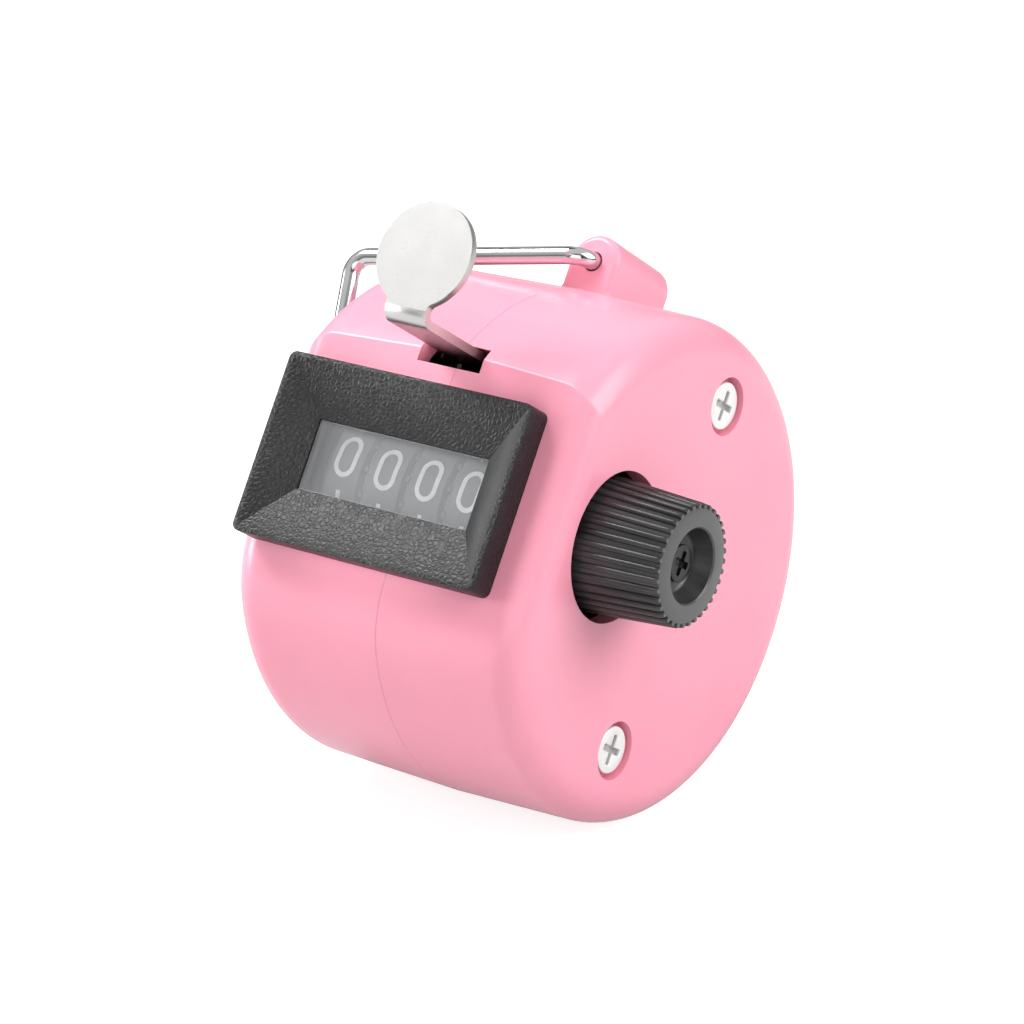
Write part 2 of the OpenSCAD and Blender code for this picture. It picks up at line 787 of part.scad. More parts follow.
module thumb_lever() {
    color(steel) lean() difference() {
        union() {
            along_x(lever_left, lever_right) lever_bend();
            bar_y(-disc_y, -disc_y + lever_t, lever_x, disc_z, disc_d);
            bar_x(tube_left, tube_right, -pivot_y, pivot_z, tube_d);
        }
        bar_x(-far, far, -pivot_y, pivot_z, pivot_d + 2 * running_gap);
    }
}

module fork_arm(tip) {
    hull() {
        translate([-pivot_y, pivot_z]) circle(d = fork_arm_w, $fn = 32);
        translate(tip) circle(fork_tip_r, $fn = 32);
    }
}

module drive_fork() {
    color("ivory") lean() difference() {
        union() {
            along_x(fork_left, fork_left + fork_t) {
                fork_arm(fork_front_tip);
                fork_arm(fork_rear_tip);
            }
            bar_x(fork_left, fork_left + fork_t, -pivot_y, pivot_z, fork_ring_d);
        }
        bar_x(-far, far, -pivot_y, pivot_z, tube_d + 2 * fixed_gap);
    }
}

// Middle line of the return spring: a leg beside the frame, the turns, and a leg under the strip
spring_steps = 16;
spring_r = spring_d / 2;
spring_path = concat(
    [[spring_left, -pivot_y + spring_rear_leg, pivot_z - spring_r]],
    [for (i = [0:spring_turns * spring_steps])
        let (a = i * 360 / spring_steps, s = i / (spring_turns * spring_steps))
        [spring_left + s * (spring_right - spring_left),
            -pivot_y - spring_r * sin(a), pivot_z - spring_r * cos(a)]],
    [[spring_right, -pivot_y - spring_front_leg, pivot_z - spring_r]]);

// One unbroken tube along a path that never runs along X
module swept_wire(path, d, sides) {
    last = len(path) - 1;
    rings = [for (i = [0:last])
        let (t = unit(path[min(i + 1, last)] - path[max(i - 1, 0)]),
            side = unit(cross(t, [1, 0, 0])),
            up = cross(side, t))
        for (k = [0:sides - 1])
            let (a = k * 360 / sides)
            path[i] + d / 2 * (cos(a) * side + sin(a) * up)];
    quads = [for (i = [0:last - 1], k = [0:sides - 1])
        let (a = i * sides + k, b = i * sides + (k + 1) % sides)
        [[a, b, b + sides], [a, b + sides, a + sides]]];
    walls = [for (q = quads, f = q) f];
    start_cap = [for (k = [1:sides - 2]) [0, k + 1, k]];
    end_cap = [for (k = [1:sides - 2]) [last * sides, last * sides + k, last * sides + k + 1]];
    polyhedron(rings, concat(walls, start_cap, end_cap));
}

module lever_spring() {
    color("silver") lean() swept_wire(spring_path, spring_wire, 6);
}

// Knob

module knob_flutes() {
    run = knob_tip - knob_start;
    taper = atan((knob_base_d - knob_tip_d) / 2 / run);
    for (i = [0:flute_count - 1])
        rotate([i * 360 / flute_count, 0, 0])
            translate([knob_start, 0, knob_base_d / 2])
                rotate([0, 90 + taper, 0])
                    translate([0, 0, -1]) cylinder(d = flute_d, h = run + 2, $fn = 24);
}

module reset_knob() {
    color(black) lean() translate([0, -shaft_y, 0]) difference() {
        translate([knob_start, 0, 0]) rotate([0, 90, 0])
            cylinder(d1 = knob_base_d, d2 = knob_tip_d, h = knob_tip - knob_start);
        knob_flutes();
        bar_x(recess_floor, far, 0, 0, recess_d);
        bar_x(0, shaft_end_right + 0.1, 0, 0, shaft_d + 2 * fixed_gap);
        bar_x(0, far, 0, 0, knob_screw_d + 2 * post_gap);
    }
}

// A screw along X: a low head with a cross recess, its seat at x = seat
module cross_screw(seat, d_head, d_shank, length) {
    difference() {
        union() {
            bar_x(seat, seat + head_t, 0, 0, d_head);
            bar_x(seat - length, seat + eps, 0, 0, d_shank);
        }
        for (turn = [0, 90])
            rotate([turn, 0, 0]) translate([seat + head_t - cross_depth, -cross_w / 2, -d_head * 0.32])
                cube([far, cross_w, d_head * 0.64]);
    }
}

module knob_screw() {
    color("dimgray") lean() translate([0, -shaft_y, 0])
        cross_screw(recess_floor, knob_screw_head_d, knob_screw_d, knob_screw_len);
}

module case_screws() {
    color(steel) lean() for (side = [-1, 1])
        translate([0, 0, side * screw_dist])
            cross_screw(half_len - counterbore_depth, head_d, shank_d, shank_len);
}

// Finger loop

// Half of the loop, drawn flat with its hinge axis on Y, its arm along -X and its end turned down
module loop_half() {
    b = loop_bend_r;
    arm_y = loop_arm_y;
    bar_y(-eps, arm_y - b, 0, 0, wire_d);
    translate([-b, arm_y - b, 0]) rotate_extrude(angle = 90) translate([b, 0]) circle(d = wire_d);
    bar_x(-loop_reach + b, -b, arm_y, 0, wire_d);
    translate([-loop_reach + b, arm_y, -b]) rotate([90, -90, 0])
        rotate_extrude(angle = 90) translate([b, 0]) circle(d = wire_d);
    translate([-loop_reach, arm_y, -loop_drop + b]) cylinder(d = wire_d, h = loop_drop - 2 * b);
    translate([-loop_reach, arm_y - b, -loop_drop + b]) rotate([0, 90, 0])
        rotate_extrude(angle = 90) translate([b, 0]) circle(d = wire_d);
    bar_y(-eps, arm_y - b, -loop_reach, -loop_drop, wire_d);
}

module finger_loop() {
    color("silver") lean() translate([seam_x, 0, lug_axis_h]) rotate([0, -loop_sag, 0]) {
        loop_half();
        mirror([0, 1, 0]) loop_half();
    }
}

case_right();
case_left();
bezel();
window_lens();
mechanism_frame();
number_shaft();
shaft_clip();
number_wheel_thousands();
number_wheel_hundreds();
number_wheel_tens();
number_wheel_units();
reset_pawl_thousands();
reset_pawl_hundreds();
reset_pawl_tens();
reset_pawl_units();
star_wheel();
carry_pinion_thousands();
carry_pinion_hundreds();
carry_pinion_tens();
pinion_shaft();
pinion_spacers();
lever_shaft();
thumb_lever();
drive_fork();
lever_spring();
detent_leaf();
leaf_rivet();
reset_knob();
knob_screw();
case_screws();
finger_loop();
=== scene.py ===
"""Hand tally counter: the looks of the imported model, seen from the photo's camera.

Shapes are drawn in millimetres in the counter's upright pose (X towards the knob, -Y the way the window
faces, Z up along the flat, X = 0 at the drum's middle). They are then leaned back into the row's frame, in
metres.
"""

import math

import bmesh
import bpy
from mathutils import Matrix, Vector


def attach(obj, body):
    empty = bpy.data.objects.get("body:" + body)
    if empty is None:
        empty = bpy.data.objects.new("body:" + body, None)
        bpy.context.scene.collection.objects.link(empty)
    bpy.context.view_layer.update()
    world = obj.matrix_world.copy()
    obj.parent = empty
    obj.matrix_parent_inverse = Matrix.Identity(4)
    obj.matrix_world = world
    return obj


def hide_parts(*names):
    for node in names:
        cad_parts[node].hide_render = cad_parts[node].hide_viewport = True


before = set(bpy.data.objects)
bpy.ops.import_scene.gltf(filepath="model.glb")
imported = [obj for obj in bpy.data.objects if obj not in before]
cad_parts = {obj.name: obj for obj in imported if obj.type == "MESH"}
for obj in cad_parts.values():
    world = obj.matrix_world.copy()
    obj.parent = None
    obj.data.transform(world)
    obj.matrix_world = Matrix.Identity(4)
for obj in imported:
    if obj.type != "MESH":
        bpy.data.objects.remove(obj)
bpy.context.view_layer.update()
scene = bpy.context.scene

# One millimetre in metres, and how far the counter leans back
MM = 0.001
LEAN = math.radians(32.5)

# Sizes shared with the CAD, in millimetres
HALF_LEN = 15.4
SEAM_X = 0.9
SEAM_R = 22.3
END_R = 22.0
EDGE_R = 3.4
FLAT_EDGE_R = 2.6
FACET = 19.2
WALL = 1.8
LUG_R = 2.5
LUG_LEN = 9.6
LUG_Z = 24.4
WIRE_R = 0.8
SHAFT_Y = -9.9
WHEEL_R = 7.4
WHEEL_PITCH = 4.33
WHEELS_X = -1.6
KNOB_START = 9.845
KNOB_TIP = 23.0
SCREW_Z = 15.4
SCREW_SEAT = 14.2
SCREW_FACE = 15.1

# The number wheels from left to right
COUNT_NAMES = ("thousands", "hundreds", "tens", "units")

TO_ROW = (
    Matrix.Translation((HALF_LEN * MM, 0, 0))
    @ Matrix.Rotation(-LEAN, 4, "X")
    @ Matrix.Scale(MM, 4)
)
TO_UPRIGHT = TO_ROW.inverted()


# Mesh building

BEVEL_STEPS = 3
# The largest part of a face's normal is above this if the face lies square to an axis
SQUARE = 0.9999
# Points nearer than this are merged, in metres, and faces nearer to level than this are joined, in degrees
MERGE_M = 1e-6
LEVEL_WITHIN = 0.6


def full_turn(steps):
    """Angles once round a circle."""
    return [2 * math.pi * i / steps for i in range(steps)]


def quarter_turn(steps):
    """Angles from nought to a quarter turn, both included."""
    return [math.pi / 2 * i / steps for i in range(steps + 1)]


def ring_solid(rings, closed=False):
    """A solid through loops of equal length, with flat ends, or with the last joined to the first."""
    bm = bmesh.new()
    loops = [[bm.verts.new(p) for p in ring] for ring in rings]
    count = len(rings[0])
    following = loops[1:] + loops[:1] if closed else loops[1:]
    for a, b in zip(loops, following):
        for i in range(count):
            j = (i + 1) % count
            bm.faces.new((a[i], a[j], b[j], b[i]))
    if not closed:
        bm.faces.new(loops[0])
        bm.faces.new(loops[-1])
    bmesh.ops.recalc_face_normals(bm, faces=bm.faces)
    return bm


def lathe(profile, y, z, steps, closed=False):
    """A turned solid about an axis along X, from (x, radius) pairs; a closed profile leaves a bore."""
    angles = full_turn(steps)
    rings = [[(x, y + r * math.cos(a), z + r * math.sin(a)) for a in angles] for x, r in profile]
    return ring_solid(rings, closed)


def prism(outline, put, start, end):
    """A straight solid: a 2-D outline, put in space by put(u, v, depth)."""
    return ring_solid([[put(u, v, depth) for u, v in outline] for depth in (start, end)])


def box_solid(low, high):
    """A box between two corners."""
    corners = [(low[0], low[1]), (high[0], low[1]), (high[0], high[1]), (low[0], high[1])]
    return prism(corners, lambda u, v, depth: (u, v, depth), low[2], high[2])


def bar_y(x, z, r, start, end, steps=48):
    """A round bar from front to back."""
    outline = [(x + r * math.cos(a), z + r * math.sin(a)) for a in full_turn(steps)]
    return prism(outline, lambda u, v, depth: (u, depth, v), start, end)


def to_object(name, bm):
    """A scene object from a mesh under construction, which is used up."""
    mesh = bpy.data.meshes.new(name)
    bm.to_mesh(mesh)
    bm.free()
    obj = bpy.data.objects.new(name, mesh)
    scene.collection.objects.link(obj)
    return obj


def apply_modifiers(obj):
    """Turns an object with modifiers into a plain mesh."""
    graph = bpy.context.evaluated_depsgraph_get()
    mesh = bpy.data.meshes.new_from_object(obj.evaluated_get(graph))
    old = obj.data
    obj.modifiers.clear()
    obj.data = mesh
    bpy.data.meshes.remove(old)


def combine(obj, other_bm, operation):
    """Cuts or joins a second solid, which is used up."""
    other = to_object(obj.name + "_tool", other_bm)
    modifier = obj.modifiers.new("combine", "BOOLEAN")
    modifier.operation = operation
    modifier.solver = "EXACT"
    modifier.object = other
    apply_modifiers(obj)
    mesh = other.data
    bpy.data.objects.remove(other)
    bpy.data.meshes.remove(mesh)


def soften(obj, width, angle=32):
    """Rounds every edge sharper than angle by a small width in the object's own units."""
    bevel = obj.modifiers.new("soften", "BEVEL")
    bevel.width = width
    bevel.segments = BEVEL_STEPS
    bevel.limit_method = "ANGLE"
    bevel.angle_limit = math.radians(angle)
    bevel.miter_outer = "MITER_ARC"
    bevel.use_clamp_overlap = True
    bevel.harden_normals = False
    apply_modifiers(obj)


def shade(obj, angle=34):
    """Smooth shading with creases at edges sharper than angle."""
    for polygon in obj.data.polygons:
        polygon.use_smooth = True
    obj.data.set_sharp_from_angle(angle=math.radians(angle))


def keep_faces_flat(obj):
    """Shades the faces that lie square to the axes as true flats."""
    for polygon in obj.data.polygons:
        if max(abs(part) for part in polygon.normal) > SQUARE:
            polygon.use_smooth = False


def flatten_shading(obj):
    """Lets the large faces set the normals, so that flat faces stay flat up to their soft edges."""
    weigh = obj.modifiers.new("weigh", "WEIGHTED_NORMAL")
    weigh.keep_sharp = True
    apply_modifiers(obj)


def place(obj, body, material, replaces=()):
    """Leans a finished piece into the row's frame and hands it to its CAD body."""
    obj.data.transform(TO_ROW)
    obj.data.materials.clear()
    obj.data.materials.append(material)
    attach(obj, body)
    if replaces:
        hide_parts(*replaces)


def cad_copy(node, name):
    """A merged copy of a CAD node in upright millimetres, its flat faces made whole."""
    bm = bmesh.new()
    bm.from_mesh(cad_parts[node].data)
    bmesh.ops.remove_doubles(bm, verts=bm.verts, dist=MERGE_M)
    bm.transform(TO_UPRIGHT)
    bmesh.ops.dissolve_limit(
        bm,
        angle_limit=math.radians(LEVEL_WITHIN),
        verts=bm.verts,
        edges=bm.edges,
        use_dissolve_boundaries=False,
    )
    bmesh.ops.recalc_face_normals(bm, faces=bm.faces)
    return to_object(name, bm)


# Shader helpers


def map_range(tree, value, low, high, start, end):
    """A value mapped from start..end to low..high."""
    mapped = tree.nodes.new("ShaderNodeMapRange")
    for key, number in (("From Min", start), ("From Max", end), ("To Min", low), ("To Max", high)):
        mapped.inputs[key].default_value = number
    tree.links.new(value, mapped.inputs["Value"])
    return mapped.outputs["Result"]


def pick_number(tree, choice, off, on):
    """One of two numbers, each plain or another node's output, by a choice of 0 or 1."""
    made = tree.nodes.new("ShaderNodeMix")
    made.data_type = "FLOAT"
    factor, *sockets = [socket for socket in made.inputs if socket.type == "VALUE"]
    tree.links.new(choice, factor)
    for socket, number in zip(sockets, (off, on)):
        if isinstance(number, float):
            socket.default_value = number
        else:
            tree.links.new(number, socket)
    return made.outputs[0]


class Shader:
    """A node material with a Principled shader and short ways to add nodes to it."""

    def __init__(self, name):
        self.material = bpy.data.materials.new(name)
        self.material.use_nodes = True
        self.tree = self.material.node_tree
        self.shader = self.tree.nodes["Principled BSDF"]
        self.output = self.tree.nodes["Material Output"]
        self.coords = self.tree.nodes.new("ShaderNodeTexCoord").outputs["Object"]

    def node(self, kind, **values):
        """A new node with some of its settings."""
        made = self.tree.nodes.new(kind)
        for key, value in values.items():
            setattr(made, key, value)
        return made

    def link(self, a, b):
        """Links an output to an input."""
        self.tree.links.new(a, b)

    def set(self, **values):
        """Gives the Principled shader plain values."""
        for key, value in values.items():
            self.shader.inputs[key.replace("_", " ")].default_value = value

    def feed(self, **sockets):
        """Links other nodes' outputs to the Principled shader."""
        for key, value in sockets.items():
            self.link(value, self.shader.inputs[key.replace("_", " ")])

    def vector(self, operation, first, second=None):
        """The outputs of a vector calculation on another node's output and a fixed vector."""
        made = self.node("ShaderNodeVectorMath", operation=operation)
        self.link(first, made.inputs[0])
        if second is not None:
            made.inputs[1].default_value = second
        return made.outputs

    def facing_x(self):
        """How far a face looks towards the knob, from -1 to 1."""
        parts = self.node("ShaderNodeSeparateXYZ")
        self.link(self.node("ShaderNodeTexCoord").outputs["Normal"], parts.inputs["Vector"])
        return parts.outputs["X"]

    def noise(self, size_mm, detail=3.0, rough=0.5, stretch=None):
        """Noise with features of about size_mm, optionally stretched along the axes."""
        texture = self.node("ShaderNodeTexNoise")
        texture.inputs["Scale"].default_value = 1 / (size_mm * MM)
        texture.inputs["Detail"].default_value = detail
        texture.inputs["Roughness"].default_value = rough
        source = self.coords
        if stretch:
            mapping = self.node("ShaderNodeMapping")
            mapping.inputs["Scale"].default_value = stretch
            self.link(source, mapping.inputs["Vector"])
            source = mapping.outputs["Vector"]
        self.link(source, texture.inputs["Vector"])
        return texture.outputs["Fac"]

    def ramp(self, value, low, high, start=0.3, end=0.7):
        """A value mapped from start..end to low..high."""
        return map_range(self.tree, value, low, high, start, end)

    def patches(self, size_mm, detail=3.0, stretch=None):
        """Noise spread over the whole range from 0 to 1."""
        return self.ramp(self.noise(size_mm, detail, stretch=stretch), low=0, high=1)

    def mix(self, value, first, second):
        """A colour between two, each plain or another node's output, by a value from 0 to 1."""
        mixed = self.node("ShaderNodeMix", data_type="RGBA")
        sockets = [socket for socket in mixed.inputs if socket.type == "RGBA"]
        for socket, colour in zip(sockets, (first, second)):
            if isinstance(colour, tuple):
                socket.default_value = (*colour, 1)
            else:
                self.link(colour, socket)
        self.link(value, mixed.inputs["Factor"])
        return [socket for socket in mixed.outputs if socket.type == "RGBA"][0]

    def bump(self, height, depth_mm, strength, below=None):
        """A bumped normal, on top of another one where below is given."""
        made = self.node("ShaderNodeBump")
        made.inputs["Distance"].default_value = depth_mm * MM
        made.inputs["Strength"].default_value = strength
        self.link(height, made.inputs["Height"])
        if below:
            self.link(below, made.inputs["Normal"])
        return made.outputs["Normal"]


# Materials

GRAIN_CELL = 0.42
GRAIN_WANDER = 0.4
# Depths below a number wheel's rim: grey down to the first, and below the second a pale colour, painted
# light that lifts the shade in the gaps between the wheels
WHEEL_GREY_DEPTH = 0.8
WHEEL_LIFT_DEPTH = 1.2


def pink_plastic():
    """Semi-gloss pink moulded plastic, its colour faintly clouded."""
    s = Shader("pink_plastic")
    s.feed(
        Base_Color=s.mix(s.patches(9.0, detail=2.0), (0.93, 0.345, 0.455), (0.95, 0.365, 0.475)),
        Roughness=s.ramp(s.noise(3.0, detail=2.0), low=0.245, high=0.265),
        Normal=s.bump(s.noise(1.4, detail=2.0), depth_mm=0.006, strength=0.2),
    )
    s.set(Subsurface_Weight=0.12, Subsurface_Scale=1.5 * MM, Subsurface_Radius=(1.0, 0.45, 0.45), IOR=1.48)
    return s.material


def leather_black():
    """Black plastic with a pressed leather grain, left smooth on the slope that faces left."""
    s = Shader("leather_black")
    moved = s.node("ShaderNodeVectorMath", operation="MULTIPLY_ADD")
    s.link(s.noise(1.2, detail=2.0), moved.inputs[0])
    moved.inputs[1].default_value = (GRAIN_WANDER * MM,) * 3
    s.link(s.coords, moved.inputs[2])
    cells = s.node("ShaderNodeTexVoronoi", feature="DISTANCE_TO_EDGE")
    cells.inputs["Scale"].default_value = 1 / (GRAIN_CELL * MM)
    s.link(moved.outputs["Vector"], cells.inputs["Vector"])
    pressed = s.node("ShaderNodeMath", operation="MULTIPLY")
    s.link(s.ramp(cells.outputs["Distance"], low=0, high=1, start=0.0, end=0.28), pressed.inputs[0])
    s.link(s.ramp(s.facing_x(), low=0.12, high=1, start=-0.3, end=-0.1), pressed.inputs[1])
    grain = s.bump(pressed.outputs["Value"], depth_mm=0.035, strength=0.8)
    fine = s.noise(0.12)
    s.feed(
        Base_Color=s.mix(s.patches(2.5), (0.005, 0.005, 0.006), (0.009, 0.009, 0.01)),
        Roughness=s.ramp(fine, low=0.36, high=0.5),
        Normal=s.bump(fine, depth_mm=0.008, strength=0.3, below=grain),
    )
    s.set(IOR=1.5, Specular_IOR_Level=0.4)
    return s.material


def moulded_plastic(name, low, high, rough, end_face=None, stretch=None):
    """Plain moulded plastic; end_face is a paler colour for the faces that look along the drum."""
    s = Shader(name)
    fine = s.noise(0.2, detail=4.0)
    colour = s.mix(s.patches(1.5, stretch=stretch), low, high)
    if end_face:
        facing_end = s.ramp(s.facing_x(), low=0, high=1, start=0.6, end=0.95)
        colour = s.mix(facing_end, colour, end_face)
    s.feed(
        Base_Color=colour,
        Roughness=s.ramp(fine, low=rough - 0.06, high=rough + 0.06),
        Normal=s.bump(fine, depth_mm=0.01, strength=0.3),
    )
    return s.material


def wheel_plastic():
    """Number wheels: grey rims and teeth, and a pale colour on the faces below them, painted light for the
    shaded gaps.
    """
    s = Shader("wheel_grey")
    fine = s.noise(0.2, detail=4.0)
    axis = TO_ROW.to_3x3() @ Vector((0, SHAFT_Y, 0))
    from_axis = s.vector("SUBTRACT", s.coords, axis)["Vector"]
    across = s.vector("MULTIPLY", from_axis, (0, 1, 1))["Vector"]
    radius = s.vector("LENGTH", across)["Value"]
    # Painted light: the faces deeper than the rim are pale, so that the gaps between the wheels look less
    # shaded
    lift_below = (WHEEL_R - WHEEL_LIFT_DEPTH) * MM
    grey_above = (WHEEL_R - WHEEL_GREY_DEPTH) * MM
    rim = s.ramp(radius, low=0, high=1, start=lift_below, end=grey_above)
    grey = s.mix(s.patches(1.5), (0.14, 0.14, 0.143), (0.16, 0.16, 0.163))
    s.feed(
        Base_Color=s.mix(rim, (0.7, 0.7, 0.705), grey),
        Roughness=s.ramp(fine, low=0.44, high=0.56),
        Normal=s.bump(fine, depth_mm=0.01, strength=0.3),
    )
    return s.material


def metal(name, low, high, rough, stretch=None, metallic=1.0, painted_shade=None):
    """Plated metal with fine rubbing marks.

    An optional painted shade is given as a direction, two places along it in millimetres and the colour
    below the first of them; the colour fades back to the metal's own by the second.
    """
    s = Shader(name)
    marks = s.noise(0.25, detail=5.0, rough=0.6, stretch=stretch)
    colour = s.mix(s.patches(3.0), low, high)
    # Painted shade: the given colour below the first place, fading into the metal's colour by the second
    if painted_shade:
        direction, start, end, below = painted_shade
        along = s.vector("DOT_PRODUCT", s.coords, direction)["Value"]
        shown = s.ramp(along, low=0, high=1, start=start * MM, end=end * MM)
        colour = s.mix(shown, below, colour)
    s.feed(
        Base_Color=colour,
        Roughness=s.ramp(marks, low=rough * 0.8, high=rough * 1.25),
        Normal=s.bump(marks, depth_mm=0.002, strength=0.3),
    )
    s.set(Metallic=metallic)
    return s.material


def clear_lens():
    """Clear plastic: see-through, with a mirror sheen and a milky haze."""
    s = Shader("clear_lens")
    clear = s.node("ShaderNodeBsdfTransparent")
    clear.inputs["Color"].default_value = (0.985, 0.99, 0.99, 1)
    haze = s.node("ShaderNodeBsdfDiffuse")
    haze.inputs["Color"].default_value = (0.8, 0.82, 0.85, 1)
    with_haze = s.node("ShaderNodeMixShader")
    s.link(s.ramp(s.noise(4.0, detail=2.0), low=0.115, high=0.13), with_haze.inputs["Fac"])
    s.link(clear.outputs["BSDF"], with_haze.inputs[1])
    s.link(haze.outputs["BSDF"], with_haze.inputs[2])
    sheen = s.node("ShaderNodeBsdfGlossy")
    sheen.inputs["Roughness"].default_value = 0.08
    edge = s.node("ShaderNodeFresnel")
    edge.inputs["IOR"].default_value = 1.45
    whole = s.node("ShaderNodeMixShader")
    s.link(edge.outputs["Fac"], whole.inputs["Fac"])
    s.link(with_haze.outputs["Shader"], whole.inputs[1])
    s.link(sheen.outputs["BSDF"], whole.inputs[2])
    s.link(whole.outputs["Shader"], s.output.inputs["Surface"])
    s.tree.nodes.remove(s.shader)
    return s.material


def ink_white():
    """The white ink of the numerals."""
    s = Shader("ink_white")
    s.feed(
        Base_Color=s.mix(s.patches(0.3), (0.86, 0.87, 0.88), (0.95, 0.95, 0.95)),
        Roughness=s.ramp(s.noise(0.15), low=0.5, high=0.65),
    )
    return s.material


# Painted shade: the lever is coloured darker where it runs inside the case, fading out just outside it
LEVER_SHADE_INSIDE_CASE = ((0, -math.cos(LEAN), math.sin(LEAN)), FACET - 0.5, FACET + 7.0, (0.06, 0.045, 0.045))
# Painted shade: the screws' cross slots are coloured darker grey than their heads, from just below the
# head's face
SCREW_FACE_ROW = HALF_LEN + SCREW_FACE
CROSS_SLOT_SHADE = ((1, 0, 0), SCREW_FACE_ROW - 0.25, SCREW_FACE_ROW - 0.05, (0.52, 0.52, 0.5))
PINK = pink_plastic()
LEATHER = leather_black()
# The knob's colour runs in lighter streaks along it: painted highlight for the sheen that streaks its ribs
KNOB_BLACK = moulded_plastic(
    "knob_black",
    (0.012, 0.012, 0.013),
    (0.05, 0.048, 0.049),
    rough=0.34,
    end_face=(0.09, 0.088, 0.088),
    stretch=(0.2, 1, 1),
)
WHEEL_GREY = wheel_plastic()
FROSTED = moulded_plastic("frosted_edge", (0.2, 0.2, 0.21), (0.24, 0.24, 0.25), rough=0.6)
TRAIN_IVORY = moulded_plastic("train_ivory", (0.62, 0.6, 0.52), (0.7, 0.68, 0.6), rough=0.45)
# Satin nickel for the lever, with painted shade where it runs into the case
NICKEL = metal(
    "satin_nickel",
    (0.575, 0.57, 0.56),
    (0.615, 0.61, 0.6),
    rough=0.33,
    stretch=(1, 6, 6),
    painted_shade=LEVER_SHADE_INSIDE_CASE,
)
CHROME = metal("bright_wire", (0.6, 0.6, 0.6), (0.67, 0.67, 0.67), rough=0.12)
DARK_STEEL = metal("dark_steel", (0.05, 0.05, 0.052), (0.08, 0.08, 0.082), rough=0.35)
ZINC = metal(
    "zinc_steel",
    (0.8, 0.8, 0.79),
    (0.9, 0.9, 0.89),
    rough=0.34,
    metallic=0.25,
    painted_shade=CROSS_SLOT_SHADE,
)
STEEL = metal("frame_steel", (0.34, 0.345, 0.355), (0.4, 0.405, 0.41), rough=0.38, stretch=(6, 1, 1))
BRASS = metal("spring_brass", (0.68, 0.48, 0.2), (0.76, 0.56, 0.26), rough=0.3)
LENS = clear_lens()
INK = ink_white()


# Case halves

TOP_FILLET = 0.5
LOW_FILLET = 10.0
FILLET_STEPS = 14
FLAT_STEPS = 10
ARC_STEPS = 168
END_STEPS = 16
SEAM_NICK = 0.05
# Places of a half's sections, as shares of the way from the seam to its rounded end
SECTIONS = (0.005, 0.2, 0.4, 0.6, 0.8, 1)
# Distance of the hollow's middle section from the drum's middle
HOLLOW_MIDDLE = 6
LUG_FOOT = 0.3
LUG_SINK = 0.5
LUG_EDGE_R = 0.6
LUG_FOOT_STEPS = 8
LUG_ARCH_STEPS = 24
LUG_EDGE_STEPS = 6
WIRE_GAP = 0.1
# Holes in the case: low and high corners of the straight ones, and radii of the round ones
WINDOW_HOLE = ((-11.63, -30, -4.71), (9.23, -16, 4.71))
LEVER_SLOT = ((-3.12, -30, 9.98), (3.32, -13.6, 12.2))
KNOB_HOLE_R = 6.45
KNOB_HOLE_START = 12
SCREW_HOLE_R = 2.55
# Round cutters run out to here, clear of the lug and of the drum's end
PAST_LUG = 8
PAST_END = 17
CASE_SOFT_EDGE = 0.16


def fillet_centre(radius, facet, fillet):
    """Height of the centre of a fillet between the round and the flat, and the angle that it turns."""
    height = math.sqrt((radius - fillet) ** 2 - (facet - fillet) ** 2)
    return height, math.atan2(height, facet - fillet)


def drum_ring(x, radius, facet, inset=0.0):
    """One section of the drum: its round back, and the flat that blends softly into the underside."""
    top, low = TOP_FILLET, LOW_FILLET - inset
    top_z, top_turn = fillet_centre(radius, facet, top)
    low_z, low_turn = fillet_centre(radius, facet, low)
    points = []
    for i in range(ARC_STEPS):
        a = top_turn + (2 * math.pi - top_turn - low_turn) * i / ARC_STEPS
        points.append((x, -radius * math.cos(a), radius * math.sin(a)))
    for i in range(FILLET_STEPS):
        a = low_turn * (1 - i / FILLET_STEPS)
        points.append((x, -(facet - low) - low * math.cos(a), -low_z - low * math.sin(a)))
    for i in range(FLAT_STEPS):
        points.append((x, -facet, -low_z + (low_z + top_z) * i / FLAT_STEPS))
    for i in range(FILLET_STEPS):
        a = top_turn * i / FILLET_STEPS
        points.append((x, -(facet - top) - top * math.cos(a), top_z + top * math.sin(a)))
    return points


def drum_radius(x, side):
    """The drafted radius, largest at the seam."""
    run = side * (HALF_LEN - EDGE_R) - SEAM_X
    return SEAM_R - (SEAM_R - END_R) * (x - SEAM_X) / run


def facet_depth(x):
    """Distance of the flat from the drum's axis, less where its end is rounded."""
    over = max(abs(x) - (HALF_LEN - FLAT_EDGE_R), 0)
    return FACET - FLAT_EDGE_R + math.sqrt(max(FLAT_EDGE_R ** 2 - over ** 2, 0))


def drum_half(side):
    """The solid outside of one half, from the seam to its rounded end."""
    straight = side * (HALF_LEN - EDGE_R)
    rings = [drum_ring(SEAM_X, SEAM_R - SEAM_NICK, FACET - SEAM_NICK)]
    for share in SECTIONS:
        x = SEAM_X + (straight - SEAM_X) * share
        rings.append(drum_ring(x, drum_radius(x, side), FACET))
    for a in quarter_turn(END_STEPS)[1:]:
        x = straight + side * EDGE_R * math.sin(a)
        rings.append(drum_ring(x, END_R - EDGE_R * (1 - math.cos(a)), facet_depth(x)))
    return ring_solid(rings)


def drum_hollow(side):
    """The room inside one half, up to its walls and a little past the seam."""
    rings = []
    for x in (SEAM_X - side, side * HOLLOW_MIDDLE, side * (HALF_LEN - WALL)):
        rings.append(drum_ring(x, drum_radius(x, side) - WALL, FACET - WALL, WALL))
    return ring_solid(rings)


